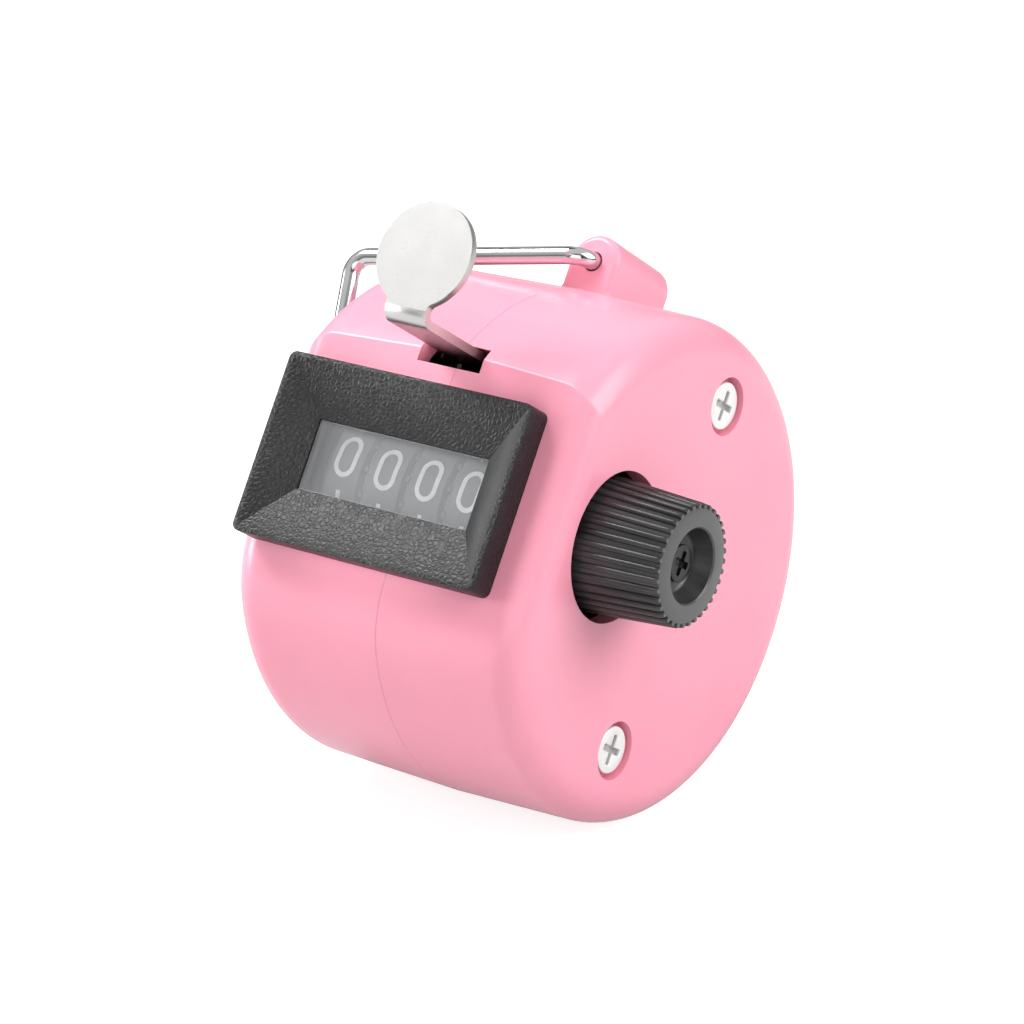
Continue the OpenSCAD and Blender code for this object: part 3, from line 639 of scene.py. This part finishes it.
def lug_outline(side, inset):
    """Front view of half of the lug, drawn inwards by inset, with a hollow foot on the drum."""
    base = SEAM_R - WALL / 2
    foot_x = LUG_R + LUG_FOOT
    foot_z = SEAM_R - LUG_SINK + LUG_FOOT
    hollow = LUG_FOOT + inset
    arch = LUG_R - inset
    outline = [(SEAM_X, base), (SEAM_X + side * foot_x, base)]
    for a in quarter_turn(LUG_FOOT_STEPS):
        outline.append((SEAM_X + side * (foot_x - hollow * math.sin(a)), foot_z - hollow * math.cos(a)))
    for a in quarter_turn(LUG_ARCH_STEPS):
        outline.append((SEAM_X + side * arch * math.cos(a), LUG_Z + arch * math.sin(a)))
    return outline


def lug_half(side):
    """Half of the arched lug, cut at the seam, with rounded front and back edges."""
    ends = []
    for a in quarter_turn(LUG_EDGE_STEPS):
        ends.append((LUG_LEN / 2 - LUG_EDGE_R * (1 - math.sin(a)), LUG_EDGE_R * (1 - math.cos(a))))
    stations = [(-y, inset) for y, inset in reversed(ends)] + ends
    return ring_solid([[(x, y, z) for x, z in lug_outline(side, inset)] for y, inset in stations])


def build_case(side, name, node):
    """One half of the case: a hollow drum with its half of the lug, and the holes that cross it."""
    half = to_object(name, drum_half(side))
    combine(half, drum_hollow(side), "DIFFERENCE")
    combine(half, lug_half(side), "UNION")
    combine(half, bar_y(SEAM_X, LUG_Z, WIRE_R + WIRE_GAP, -PAST_LUG, PAST_LUG), "DIFFERENCE")
    combine(half, box_solid(*WINDOW_HOLE), "DIFFERENCE")
    combine(half, box_solid(*LEVER_SLOT), "DIFFERENCE")
    if side > 0:
        knob_hole = ((KNOB_HOLE_START, KNOB_HOLE_R), (PAST_END, KNOB_HOLE_R))
        combine(half, lathe(knob_hole, SHAFT_Y, 0, steps=128), "DIFFERENCE")
        screw_hole = ((SCREW_SEAT, SCREW_HOLE_R), (PAST_END, SCREW_HOLE_R))
        for z in (-SCREW_Z, SCREW_Z):
            combine(half, lathe(screw_hole, 0, z, steps=72), "DIFFERENCE")
    soften(half, CASE_SOFT_EDGE, angle=36)
    shade(half)
    flatten_shading(half)
    place(half, "case", PINK, (node,))


build_case(1, "case_right_shell", "case_right")
build_case(-1, "case_left_shell", "case_left")


# The lens, and the CAD shapes with softened edges: lever, bezel and screws

# The lens: its depths in front of the drum's axis, and its half sizes across and up
WINDOW_X = -1.2
LENS_BACK = 18.3
LENS_SHOULDER = 19.0
PANE_FRONT = 19.9
LENS_HALF = (9.6, 3.9)
PANE_HALF = (8.7, 3.0)
EDGE_HALF = (8.76, 3.06)
# The lever's thumb disc, its strip and the fillets between them
DISC_X = 0.7
DISC_Y = 28.3
DISC_Z = 16.916
DISC_R = 4.55
LEVER_HALF_W = 2.05
LEVER_T = 0.75
NECK_FILLET = 0.6
NECK_STEPS = 8
# Where a fillet's solid ends inside the strip and the disc: from the middle line, and from the disc's centre
NECK_INSIDE = 1.2
NECK_TOP = -3.2


def window_rings(*steps):
    """Rectangles about the window's middle, from pairs of a depth and half sizes."""
    corners = ((-1, -1), (1, -1), (1, 1), (-1, 1))
    return [[(WINDOW_X + u * half[0], -depth, v * half[1]) for u, v in corners] for depth, half in steps]


def build_lens():
    """The lens: a plate behind the bezel, and a frosted-edged pane that fills the window."""
    pane_rings = window_rings(
        (LENS_BACK, LENS_HALF),
        (LENS_SHOULDER, LENS_HALF),
        (LENS_SHOULDER, PANE_HALF),
        (PANE_FRONT, PANE_HALF),
    )
    pane = to_object("window_pane", ring_solid(pane_rings))
    place(pane, "case", LENS, ("window_lens",))
    edge_rings = window_rings(
        (LENS_SHOULDER, EDGE_HALF),
        (PANE_FRONT, EDGE_HALF),
        (PANE_FRONT, PANE_HALF),
        (LENS_SHOULDER, PANE_HALF),
    )
    edge = to_object("pane_edge", ring_solid(edge_rings, closed=True))
    place(edge, "case", FROSTED)


def neck_fillet(side):
    """The hollow corner between the thumb disc's edge and one side of the strip."""
    f = NECK_FILLET
    across = LEVER_HALF_W + f
    down = -math.sqrt((DISC_R + f) ** 2 - across ** 2)
    start = math.atan2(-down, -across)
    outline = [(NECK_INSIDE, down), (LEVER_HALF_W, down)]
    for i in range(1, NECK_STEPS + 1):
        a = math.pi + (start - math.pi) * i / NECK_STEPS
        outline.append((across + f * math.cos(a), down + f * math.sin(a)))
    outline.append((NECK_INSIDE, NECK_TOP))
    return prism(
        outline, lambda u, v, depth: (DISC_X + side * u, depth, DISC_Z + v), -DISC_Y, -DISC_Y + LEVER_T
    )


def build_lever():
    """The thumb lever with a filleted neck and softened edges."""
    plate = cad_copy("thumb_lever", "thumb_lever_plate")
    for side in (-1, 1):
        combine(plate, neck_fillet(side), "UNION")
    soften(plate, width=0.14)
    shade(plate)
    keep_faces_flat(plate)
    place(plate, "lever", NICKEL, ("thumb_lever",))


def softened(node, name, body, material, width):
    """A CAD node with its edges rounded by width."""
    obj = cad_copy(node, name)
    soften(obj, width)
    shade(obj)
    place(obj, body, material, (node,))


build_lens()
build_lever()
softened("bezel", "window_bezel", "case", LEATHER, width=0.08)
softened("case_screws", "case_screw_heads", "case", ZINC, width=0.1)
softened("knob_screw", "knob_screw_head", "reset", DARK_STEEL, width=0.07)


# Number wheels and their numerals

DIGIT_H = 3.3
DIGIT_W = 1.75
DIGIT_TURN = 36
STROKE = 0.42
INK_LIFT = 0.02
INK_SINK = 0.05
LINE_STEPS = 8
# How far each wheel's nought has turned up past the middle of the window, in degrees
FIRST_ANGLES = (7.8, 5.4, 4.9, 4.3)


def arc(cx, cy, rx, ry, start, end, count=18):
    """Points on part of an ellipse, in degrees, both ends included."""
    points = []
    for i in range(count + 1):
        a = math.radians(start + (end - start) * i / count)
        points.append((cx + rx * math.cos(a), cy + ry * math.sin(a)))
    return points


def line(*points):
    """A broken line with points close enough together to wrap on a wheel."""
    made = [points[0]]
    for (ax, ay), (bx, by) in zip(points, points[1:]):
        for i in range(1, LINE_STEPS + 1):
            made.append((ax + (bx - ax) * i / LINE_STEPS, ay + (by - ay) * i / LINE_STEPS))
    return made


def tall_ring():
    """The numeral nought: two half rounds joined by straight sides."""
    top = arc(0, 0.22, 0.5, 0.28, 0, 180, 16)
    bottom = arc(0, -0.22, 0.5, 0.28, 180, 360, 16)
    return top + line((-0.5, 0.22), (-0.5, -0.22))[1:-1] + bottom + line((0.5, -0.22), (0.5, 0.22))[1:-1]


# Each numeral is a list of (points, closed) strokes in a box one wide and one tall
NUMERALS = [
    [(tall_ring(), True)],
    [(line((0, -0.5), (0, 0.5)), False)],
    [(arc(0, 0.24, 0.48, 0.26, 165, -35) + line((0.36, 0.08), (-0.48, -0.5), (0.5, -0.5))[1:], False)],
    [(arc(0, 0.26, 0.44, 0.24, 150, -85) + arc(0, -0.24, 0.5, 0.26, 85, -155), False)],
    [(line((0.5, -0.18), (-0.5, -0.18), (0.22, 0.5), (0.22, -0.5)), False)],
    [(line((0.42, 0.5), (-0.38, 0.5), (-0.44, 0.04)) + arc(0, -0.17, 0.5, 0.33, 140, -150), False)],
    [(line((0.3, 0.5), (-0.12, 0.3)) + arc(0, -0.2, 0.5, 0.3, 140, 490, 30)[1:], False)],
    [(line((-0.5, 0.5), (0.5, 0.5), (-0.12, -0.5)), False)],
    [
        (arc(0, 0.26, 0.42, 0.24, -90, 270, 28)[:-1], True),
        (arc(0, -0.24, 0.5, 0.26, -90, 270, 28)[:-1], True),
    ],
    [(line((-0.3, -0.5), (0.12, -0.3)) + arc(0, 0.2, 0.5, 0.3, -40, 310, 30)[1:], False)],
]


def stroke_on_wheel(bm, points, closed, mid_x, angle):
    """One inked stroke as a thin closed band on a wheel's rim, its middle at the given angle."""
    count = len(points)
    flat = [(px * DIGIT_W, py * DIGIT_H) for px, py in points]
    outside = WHEEL_R + INK_LIFT
    inside = WHEEL_R - INK_SINK
    corners = ((1, outside), (-1, outside), (-1, inside), (1, inside))
    sections = []
    for i, (px, py) in enumerate(flat):
        if closed:
            before, after = flat[i - 1], flat[(i + 1) % count]
        else:
            before, after = flat[max(i - 1, 0)], flat[min(i + 1, count - 1)]
        run = Vector((after[0] - before[0], after[1] - before[1])).normalized()
        side = Vector((-run.y, run.x)) * STROKE / 2
        section = []
        for sign, r in corners:
            u = px + sign * side.x
            turn = angle + (py + sign * side.y) / WHEEL_R
            section.append(bm.verts.new((mid_x + u, SHAFT_Y - r * math.cos(turn), r * math.sin(turn))))
        sections.append(section)
    pairs = list(zip(sections, sections[1:]))
    if closed:
        pairs.append((sections[-1], sections[0]))
    else:
        bm.faces.new(sections[0])
        bm.faces.new(sections[-1])
    for a, b in pairs:
        for k in range(len(corners)):
            m = (k + 1) % len(corners)
            bm.faces.new((a[k], a[m], b[m], b[k]))


def build_numerals(index, wheel):
    """The ten numerals round one wheel, with nought in the window and one coming up below it."""
    middle_index = (len(COUNT_NAMES) - 1) / 2
    mid_x = WHEELS_X + (index - middle_index) * WHEEL_PITCH
    bm = bmesh.new()
    for digit, strokes in enumerate(NUMERALS):
        angle = math.radians(FIRST_ANGLES[index] - DIGIT_TURN * digit)
        for points, closed in strokes:
            stroke_on_wheel(bm, points, closed, mid_x, angle)
    bmesh.ops.recalc_face_normals(bm, faces=bm.faces)
    obj = to_object("numerals_" + wheel, bm)
    place(obj, wheel, INK)


for wheel_index, wheel_name in enumerate(COUNT_NAMES):
    build_numerals(wheel_index, wheel_name)


# Geometry Nodes helpers


def node_group(name, inputs):
    """A geometry node group with named inputs; returns it with its in and out nodes."""
    group = bpy.data.node_groups.new(name, "GeometryNodeTree")
    group.interface.new_socket("Geometry", in_out="INPUT", socket_type="NodeSocketGeometry")
    for label, kind in inputs:
        group.interface.new_socket(label, in_out="INPUT", socket_type=kind)
    group.interface.new_socket("Geometry", in_out="OUTPUT", socket_type="NodeSocketGeometry")
    return group, group.nodes.new("NodeGroupInput"), group.nodes.new("NodeGroupOutput")


def paint_result(group, made, start, end):
    """Ends a group: the geometry made by it is realised, gets the group's material and is put out."""
    whole = group.nodes.new("GeometryNodeRealizeInstances")
    paint = group.nodes.new("GeometryNodeSetMaterial")
    group.links.new(made, whole.inputs["Geometry"])
    group.links.new(whole.outputs["Geometry"], paint.inputs["Geometry"])
    group.links.new(start.outputs["Material"], paint.inputs["Material"])
    group.links.new(paint.outputs["Geometry"], end.inputs["Geometry"])


def run_group(obj, group, values):
    """Runs a node group on an object and returns the result as a plain mesh object."""
    modifier = obj.modifiers.new(group.name, "NODES")
    modifier.node_group = group
    for item in group.interface.items_tree:
        if item.item_type == "SOCKET" and item.in_out == "INPUT" and item.name in values:
            modifier[item.identifier] = values[item.name]
    bpy.context.view_layer.update()
    graph = bpy.context.evaluated_depsgraph_get()
    mesh = bpy.data.meshes.new_from_object(obj.evaluated_get(graph))
    name = obj.name
    bpy.data.objects.remove(obj)
    made = bpy.data.objects.new(name, mesh)
    scene.collection.objects.link(made)
    return made


# Finger loop: one closed wire swept along its line

LOOP_REACH = 23.7
LOOP_DROP = 14.0
LOOP_BEND = 1.7
LOOP_CLEAR = 0.15
LOOP_ARM_Y = LUG_LEN / 2 + LOOP_BEND
# The loop sags until its arms are just clear of the drum's rounded left edge
EDGE_X = HALF_LEN - EDGE_R + SEAM_X
EDGE_DROP = LUG_Z - math.sqrt(END_R ** 2 - LOOP_ARM_Y ** 2) + EDGE_R
LOOP_SAG = math.atan2(EDGE_DROP, EDGE_X) - math.asin(
    (EDGE_R + WIRE_R + LOOP_CLEAR) / math.hypot(EDGE_X, EDGE_DROP)
)
BEND_STEPS = 10
WIRE_SIDES = 28


def bend(centre, first, second):
    """A quarter bend: from centre + first to centre + second, both given as offsets."""
    points = []
    for a in quarter_turn(BEND_STEPS):
        points.append(Vector(centre) + Vector(first) * math.cos(a) + Vector(second) * math.sin(a))
    return points


def loop_line():
    """The wire's middle line, hinge on Y, arms along -X and the end turned down."""
    b = LOOP_BEND
    y = LOOP_ARM_Y
    half = bend((-b, y - b, 0), (b, 0, 0), (0, b, 0))
    half += bend((-LOOP_REACH + b, y, -b), (0, 0, b), (-b, 0, 0))
    half += bend((-LOOP_REACH, y - b, -LOOP_DROP + b), (0, b, 0), (0, 0, -b))
    other = [Vector((p.x, -p.y, p.z)) for p in reversed(half)]
    sag = Matrix.Rotation(-LOOP_SAG, 4, "Y")
    return [Vector((SEAM_X, 0, LUG_Z)) + sag @ p for p in half + other]


def build_loop():
    """The finger loop: a round wire along its line."""
    curve = bpy.data.curves.new("finger_loop_wire", "CURVE")
    curve.dimensions = "3D"
    points = loop_line()
    spline = curve.splines.new("POLY")
    spline.points.add(len(points) - 1)
    for point, co in zip(spline.points, points):
        point.co = (*co, 1)
    spline.use_cyclic_u = True
    obj = bpy.data.objects.new("finger_loop_wire", curve)
    scene.collection.objects.link(obj)

    inputs = (
        ("Wire radius", "NodeSocketFloat"),
        ("Sides", "NodeSocketInt"),
        ("Material", "NodeSocketMaterial"),
    )
    group, start, end = node_group("sweep_wire", inputs)
    circle = group.nodes.new("GeometryNodeCurvePrimitiveCircle")
    sweep = group.nodes.new("GeometryNodeCurveToMesh")
    link = group.links.new
    link(start.outputs["Wire radius"], circle.inputs["Radius"])
    link(start.outputs["Sides"], circle.inputs["Resolution"])
    link(start.outputs["Geometry"], sweep.inputs["Curve"])
    link(circle.outputs["Curve"], sweep.inputs["Profile Curve"])
    paint_result(group, sweep.outputs["Mesh"], start, end)
    wire = run_group(obj, group, {"Wire radius": WIRE_R, "Sides": WIRE_SIDES, "Material": CHROME})
    shade(wire, angle=60)
    place(wire, "loop", CHROME, ("finger_loop",))


build_loop()


# Reset knob: a turned core with a rib set round it again and again

KNOB_BASE_R = 6.1
KNOB_TIP_R = 5.25
KNOB_LEN = KNOB_TIP - KNOB_START
KNOB_STEPS = 144
CORE_DROP = 0.3
CORE_BASE_R = KNOB_BASE_R - CORE_DROP
CORE_TIP_R = KNOB_TIP_R - CORE_DROP
DISH_FLOOR = KNOB_TIP - 2.0
SCREW_BORE_R = 0.9
BORE_END = KNOB_TIP - 4.2
BORE_R = 1.52
# (x, radius) pairs: the back, the cone, the softened rim, the dished end, the screw's hole and the bore
KNOB_PROFILE = (
    (KNOB_START, BORE_R),
    (KNOB_START, CORE_BASE_R - 0.2),
    (KNOB_START + 0.2, CORE_BASE_R),
    (KNOB_TIP - 0.35, CORE_TIP_R),
    (KNOB_TIP - 0.12, CORE_TIP_R - 0.12),
    (KNOB_TIP, CORE_TIP_R - 0.4),
    (KNOB_TIP, 3.3),
    (KNOB_TIP - 0.12, 3.16),
    (KNOB_TIP - 1.7, 2.75),
    (KNOB_TIP - 1.9, 2.6),
    (DISH_FLOOR, 2.4),
    (DISH_FLOOR, SCREW_BORE_R),
    (BORE_END, SCREW_BORE_R),
    (BORE_END, BORE_R),
)
RIB_COUNT = 36
RIB_R = 0.29
RIB_SINK = 0.032
RIB_SIDES = 16
# Places along a rib from the knob's back, and the shares of its full thickness there
RIB_STATIONS = (
    (0.03, 0.55),
    (0.1, 0.85),
    (0.3, 1),
    (KNOB_LEN - 0.45, 1),
    (KNOB_LEN - 0.2, 0.92),
    (KNOB_LEN - 0.08, 0.7),
)


def knob_rib():
    """One rib along the knob's side, at the top of the knob, with rounded ends."""
    rings = []
    for run, full in RIB_STATIONS:
        outside = KNOB_BASE_R + (KNOB_TIP_R - KNOB_BASE_R) * run / KNOB_LEN
        middle = outside - RIB_R - RIB_SINK
        r = RIB_R * full
        x = KNOB_START + run
        rings.append([(x, r * math.cos(a), middle + r * math.sin(a)) for a in full_turn(RIB_SIDES)])
    return to_object("knob_rib", ring_solid(rings))


def ring_of_copies():
    """A node group that sets copies of a shape round the X axis."""
    inputs = (("Ribs", "NodeSocketInt"), ("Material", "NodeSocketMaterial"))
    group, start, end = node_group("set_round_knob", inputs)
    nodes = group.nodes
    link = group.links.new
    line_of_points = nodes.new("GeometryNodeMeshLine")
    line_of_points.inputs["Offset"].default_value = (0, 0, 0)
    link(start.outputs["Ribs"], line_of_points.inputs["Count"])
    index = nodes.new("GeometryNodeInputIndex")
    share = nodes.new("ShaderNodeMath")
    share.operation = "DIVIDE"
    link(index.outputs["Index"], share.inputs[0])
    link(start.outputs["Ribs"], share.inputs[1])
    turn = nodes.new("ShaderNodeMath")
    turn.operation = "MULTIPLY"
    turn.inputs[1].default_value = 2 * math.pi
    link(share.outputs["Value"], turn.inputs[0])
    angles = nodes.new("ShaderNodeCombineXYZ")
    link(turn.outputs["Value"], angles.inputs["X"])
    spread = nodes.new("GeometryNodeInstanceOnPoints")
    link(line_of_points.outputs["Mesh"], spread.inputs["Points"])
    link(start.outputs["Geometry"], spread.inputs["Instance"])
    link(angles.outputs["Vector"], spread.inputs["Rotation"])
    paint_result(group, spread.outputs["Instances"], start, end)
    return group


def build_knob():
    """The knob's core, a cone with a softened rim and a dished end, and the ribs round it."""
    core = to_object("reset_knob_core", lathe(KNOB_PROFILE, SHAFT_Y, 0, KNOB_STEPS, closed=True))
    shade(core, angle=30)
    place(core, "reset", KNOB_BLACK, ("reset_knob",))

    rib = knob_rib()
    shade(rib, angle=50)
    ribs = run_group(rib, ring_of_copies(), {"Ribs": RIB_COUNT, "Material": KNOB_BLACK})
    ribs.name = "reset_knob_ribs"
    ribs.data.transform(Matrix.Translation((0, SHAFT_Y, 0)))
    place(ribs, "reset", KNOB_BLACK)


build_knob()


# CAD nodes that stay as they are get their materials

NODE_MATERIALS = {
    "mechanism_frame": STEEL,
    "number_shaft": STEEL,
    "shaft_clip": STEEL,
    "pinion_shaft": STEEL,
    "pinion_spacers": STEEL,
    "lever_shaft": STEEL,
    "lever_spring": DARK_STEEL,
    "detent_leaf": STEEL,
    "leaf_rivet": STEEL,
    "star_wheel": TRAIN_IVORY,
    "drive_fork": TRAIN_IVORY,
    "carry_pinion_thousands": TRAIN_IVORY,
    "carry_pinion_hundreds": TRAIN_IVORY,
    "carry_pinion_tens": TRAIN_IVORY,
}
for count_name in COUNT_NAMES:
    NODE_MATERIALS["number_wheel_" + count_name] = WHEEL_GREY
    NODE_MATERIALS["reset_pawl_" + count_name] = BRASS
for node_name, node_material in NODE_MATERIALS.items():
    mesh_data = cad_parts[node_name].data
    mesh_data.materials.clear()
    mesh_data.materials.append(node_material)


# Floor and room, in metres

FLOOR_Z = -SEAM_R * MM
FLOOR_HALF = 1.5
# The floor's own brightness in mirrored rays, and for the camera from near the counter to far from it
FLOOR_MIRRORED = 0.3
FLOOR_NEAR = 0.8
FLOOR_FAR = 1.0
NEAR_M = 0.15
FAR_M = 0.5
ROOM_LIGHT = 0.36
# The room in mirrored rays: its brightness at the horizon and high up, and how far up that starts
SKY_LOW = 0.15
SKY_HIGH = 0.75
SKY_HEIGHT = 0.6
# Dark flags that show in bright metal: a direction, and how near to it they start and are darkest
DARK_FLAGS = (((0.6, -0.75, 0.25), 0.8, 0.93), ((-0.5, 0.3, 0.81), 0.93, 0.98))
FLAG_DARK = 0.08


def shows_background(tree):
    """One for rays that show the background: the camera's own, mirrored ones and those through the lens."""
    path = tree.nodes.new("ShaderNodeLightPath")
    seen = path.outputs["Is Camera Ray"]
    for kind in ("Is Glossy Ray", "Is Transmission Ray"):
        either = tree.nodes.new("ShaderNodeMath")
        either.operation = "MAXIMUM"
        tree.links.new(seen, either.inputs[0])
        tree.links.new(path.outputs[kind], either.inputs[1])
        seen = either.outputs["Value"]
    return seen


def build_floor():
    """Pale paper, lifted towards white where it is the background."""
    mesh = bpy.data.meshes.new("floor")
    h = FLOOR_HALF
    corners = [(-h, -h, FLOOR_Z), (h, -h, FLOOR_Z), (h, h, FLOOR_Z), (-h, h, FLOOR_Z)]
    mesh.from_pydata(corners, [], [(0, 1, 2, 3)])
    floor = bpy.data.objects.new("floor", mesh)
    scene.collection.objects.link(floor)
    s = Shader("floor_paper")
    paper = s.node("ShaderNodeBsdfDiffuse")
    s.link(s.mix(s.patches(30.0), (0.5, 0.5, 0.5), (0.52, 0.52, 0.52)), paper.inputs["Color"])
    lift = s.node("ShaderNodeEmission")
    by_camera = s.node("ShaderNodeLightPath").outputs["Is Camera Ray"]
    away = s.vector("LENGTH", s.coords)["Value"]
    seen = s.ramp(away, FLOOR_NEAR, FLOOR_FAR, NEAR_M, FAR_M)
    s.link(pick_number(s.tree, by_camera, FLOOR_MIRRORED, seen), lift.inputs["Strength"])
    both = s.node("ShaderNodeAddShader")
    s.link(paper.outputs["BSDF"], both.inputs[0])
    s.link(lift.outputs["Emission"], both.inputs[1])
    pick = s.node("ShaderNodeMixShader")
    s.link(shows_background(s.tree), pick.inputs["Fac"])
    s.link(paper.outputs["BSDF"], pick.inputs[1])
    s.link(both.outputs["Shader"], pick.inputs[2])
    s.link(pick.outputs["Shader"], s.output.inputs["Surface"])
    s.tree.nodes.remove(s.shader)
    mesh.materials.append(s.material)


def build_world():
    """A soft room for light, plain white for the camera, and dark flags that show in bright metal."""
    world = bpy.data.worlds.new("studio")
    scene.world = world
    world.use_nodes = True
    tree = world.node_tree
    tree.nodes.clear()
    link = tree.links.new
    room = tree.nodes.new("ShaderNodeBackground")
    room.inputs["Color"].default_value = (0.98, 0.99, 1.0, 1)
    room.inputs["Strength"].default_value = ROOM_LIGHT
    white = tree.nodes.new("ShaderNodeBackground")
    white.inputs["Color"].default_value = (1, 1, 1, 1)
    direction = tree.nodes.new("ShaderNodeTexCoord").outputs["Generated"]
    height = tree.nodes.new("ShaderNodeSeparateXYZ")
    link(direction, height.inputs["Vector"])
    mirrored = map_range(tree, height.outputs["Z"], SKY_LOW, SKY_HIGH, 0.0, SKY_HEIGHT)
    for flag, start, end in DARK_FLAGS:
        towards = tree.nodes.new("ShaderNodeVectorMath")
        towards.operation = "DOT_PRODUCT"
        towards.inputs[1].default_value = Vector(flag).normalized()
        link(direction, towards.inputs[0])
        darkened = tree.nodes.new("ShaderNodeMath")
        darkened.operation = "MULTIPLY"
        link(mirrored, darkened.inputs[0])
        link(map_range(tree, towards.outputs["Value"], 1.0, FLAG_DARK, start, end), darkened.inputs[1])
        mirrored = darkened.outputs["Value"]
    by_camera = tree.nodes.new("ShaderNodeLightPath").outputs["Is Camera Ray"]
    link(pick_number(tree, by_camera, mirrored, 1.0), white.inputs["Strength"])
    pick = tree.nodes.new("ShaderNodeMixShader")
    out = tree.nodes.new("ShaderNodeOutputWorld")
    link(shows_background(tree), pick.inputs["Fac"])
    link(room.outputs["Background"], pick.inputs[1])
    link(white.outputs["Background"], pick.inputs[2])
    link(pick.outputs["Shader"], out.inputs["Surface"])


# Lamps and camera, in metres, watts and degrees where no other unit is named

CENTRE = (0.016, -0.005, 0.0)
# Each soft box has a name, a place, the two sides of its face and a power
SOFT_BOXES = (
    ("key_light", (0.45, 0.10, 0.30), (0.4, 0.4), 2.3),
    ("top_light", (-0.29, -0.08, 0.455), (0.27, 0.27), 3.0),
    ("front_fill", (0.25, -0.5, 0.12), (0.5, 0.4), 1.0),
    ("left_light", (-0.47, -0.235, 0.11), (0.2, 0.2), 1.3),
)
# A narrow spot on the number window
SPOT_PLACE = (-0.041, -0.476, 0.307)
SPOT_AIM = (0.0142, -0.016, 0.0102)
SPOT_POWER = 5.0
SPOT_WIDTH = 2.3
SPOT_BLEND = 0.35
SPOT_RADIUS = 0.003
CAMERA_AZ = 35.936
CAMERA_EL = 20.130
CAMERA_ROLL = -0.113
CAMERA_PLACE_MM = (200.99, -257.73, 119.06)
CAMERA_NEAR = 0.01
CAMERA_FAR = 10
FOCAL_PX = 3913.19
IMAGE_PX = 1024
SENSOR_MM = 36


def hang(name, lamp, place_m, aim_m):
    """Puts a lamp in the scene, turned towards a point."""
    obj = bpy.data.objects.new(name, lamp)
    obj.location = place_m
    obj.rotation_euler = (Vector(aim_m) - Vector(place_m)).to_track_quat("-Z", "Y").to_euler()
    scene.collection.objects.link(obj)


def build_lamps():
    """Four soft boxes round the counter and the spot on its window."""
    for name, place_m, sides, power in SOFT_BOXES:
        lamp = bpy.data.lights.new(name, "AREA")
        lamp.shape = "RECTANGLE"
        lamp.size, lamp.size_y = sides
        lamp.energy = power
        hang(name, lamp, place_m, CENTRE)
    spot = bpy.data.lights.new("dial_spot", "SPOT")
    spot.energy = SPOT_POWER
    spot.spot_size = math.radians(SPOT_WIDTH)
    spot.spot_blend = SPOT_BLEND
    spot.shadow_soft_size = SPOT_RADIUS
    hang("dial_spot", spot, SPOT_PLACE, SPOT_AIM)


def build_camera():
    """The camera, fitted to the photo."""
    az, el, roll = (math.radians(v) for v in (CAMERA_AZ, CAMERA_EL, CAMERA_ROLL))
    right = Vector((math.cos(az), math.sin(az), 0))
    back = Vector((math.sin(az) * math.cos(el), -math.cos(az) * math.cos(el), math.sin(el)))
    up = back.cross(right)
    rolled_right = math.cos(roll) * right + math.sin(roll) * up
    rolled_up = -math.sin(roll) * right + math.cos(roll) * up
    data = bpy.data.cameras.new("photo_camera")
    data.sensor_width = SENSOR_MM
    data.lens = FOCAL_PX * SENSOR_MM / IMAGE_PX
    data.clip_start = CAMERA_NEAR
    data.clip_end = CAMERA_FAR
    camera = bpy.data.objects.new("photo_camera", data)
    turn = Matrix((rolled_right, rolled_up, back)).transposed().to_4x4()
    camera.matrix_world = Matrix.Translation(Vector(CAMERA_PLACE_MM) * MM) @ turn
    scene.collection.objects.link(camera)
    scene.camera = camera


build_floor()
build_world()
build_lamps()
build_camera()
scene.view_settings.view_transform = "Standard"
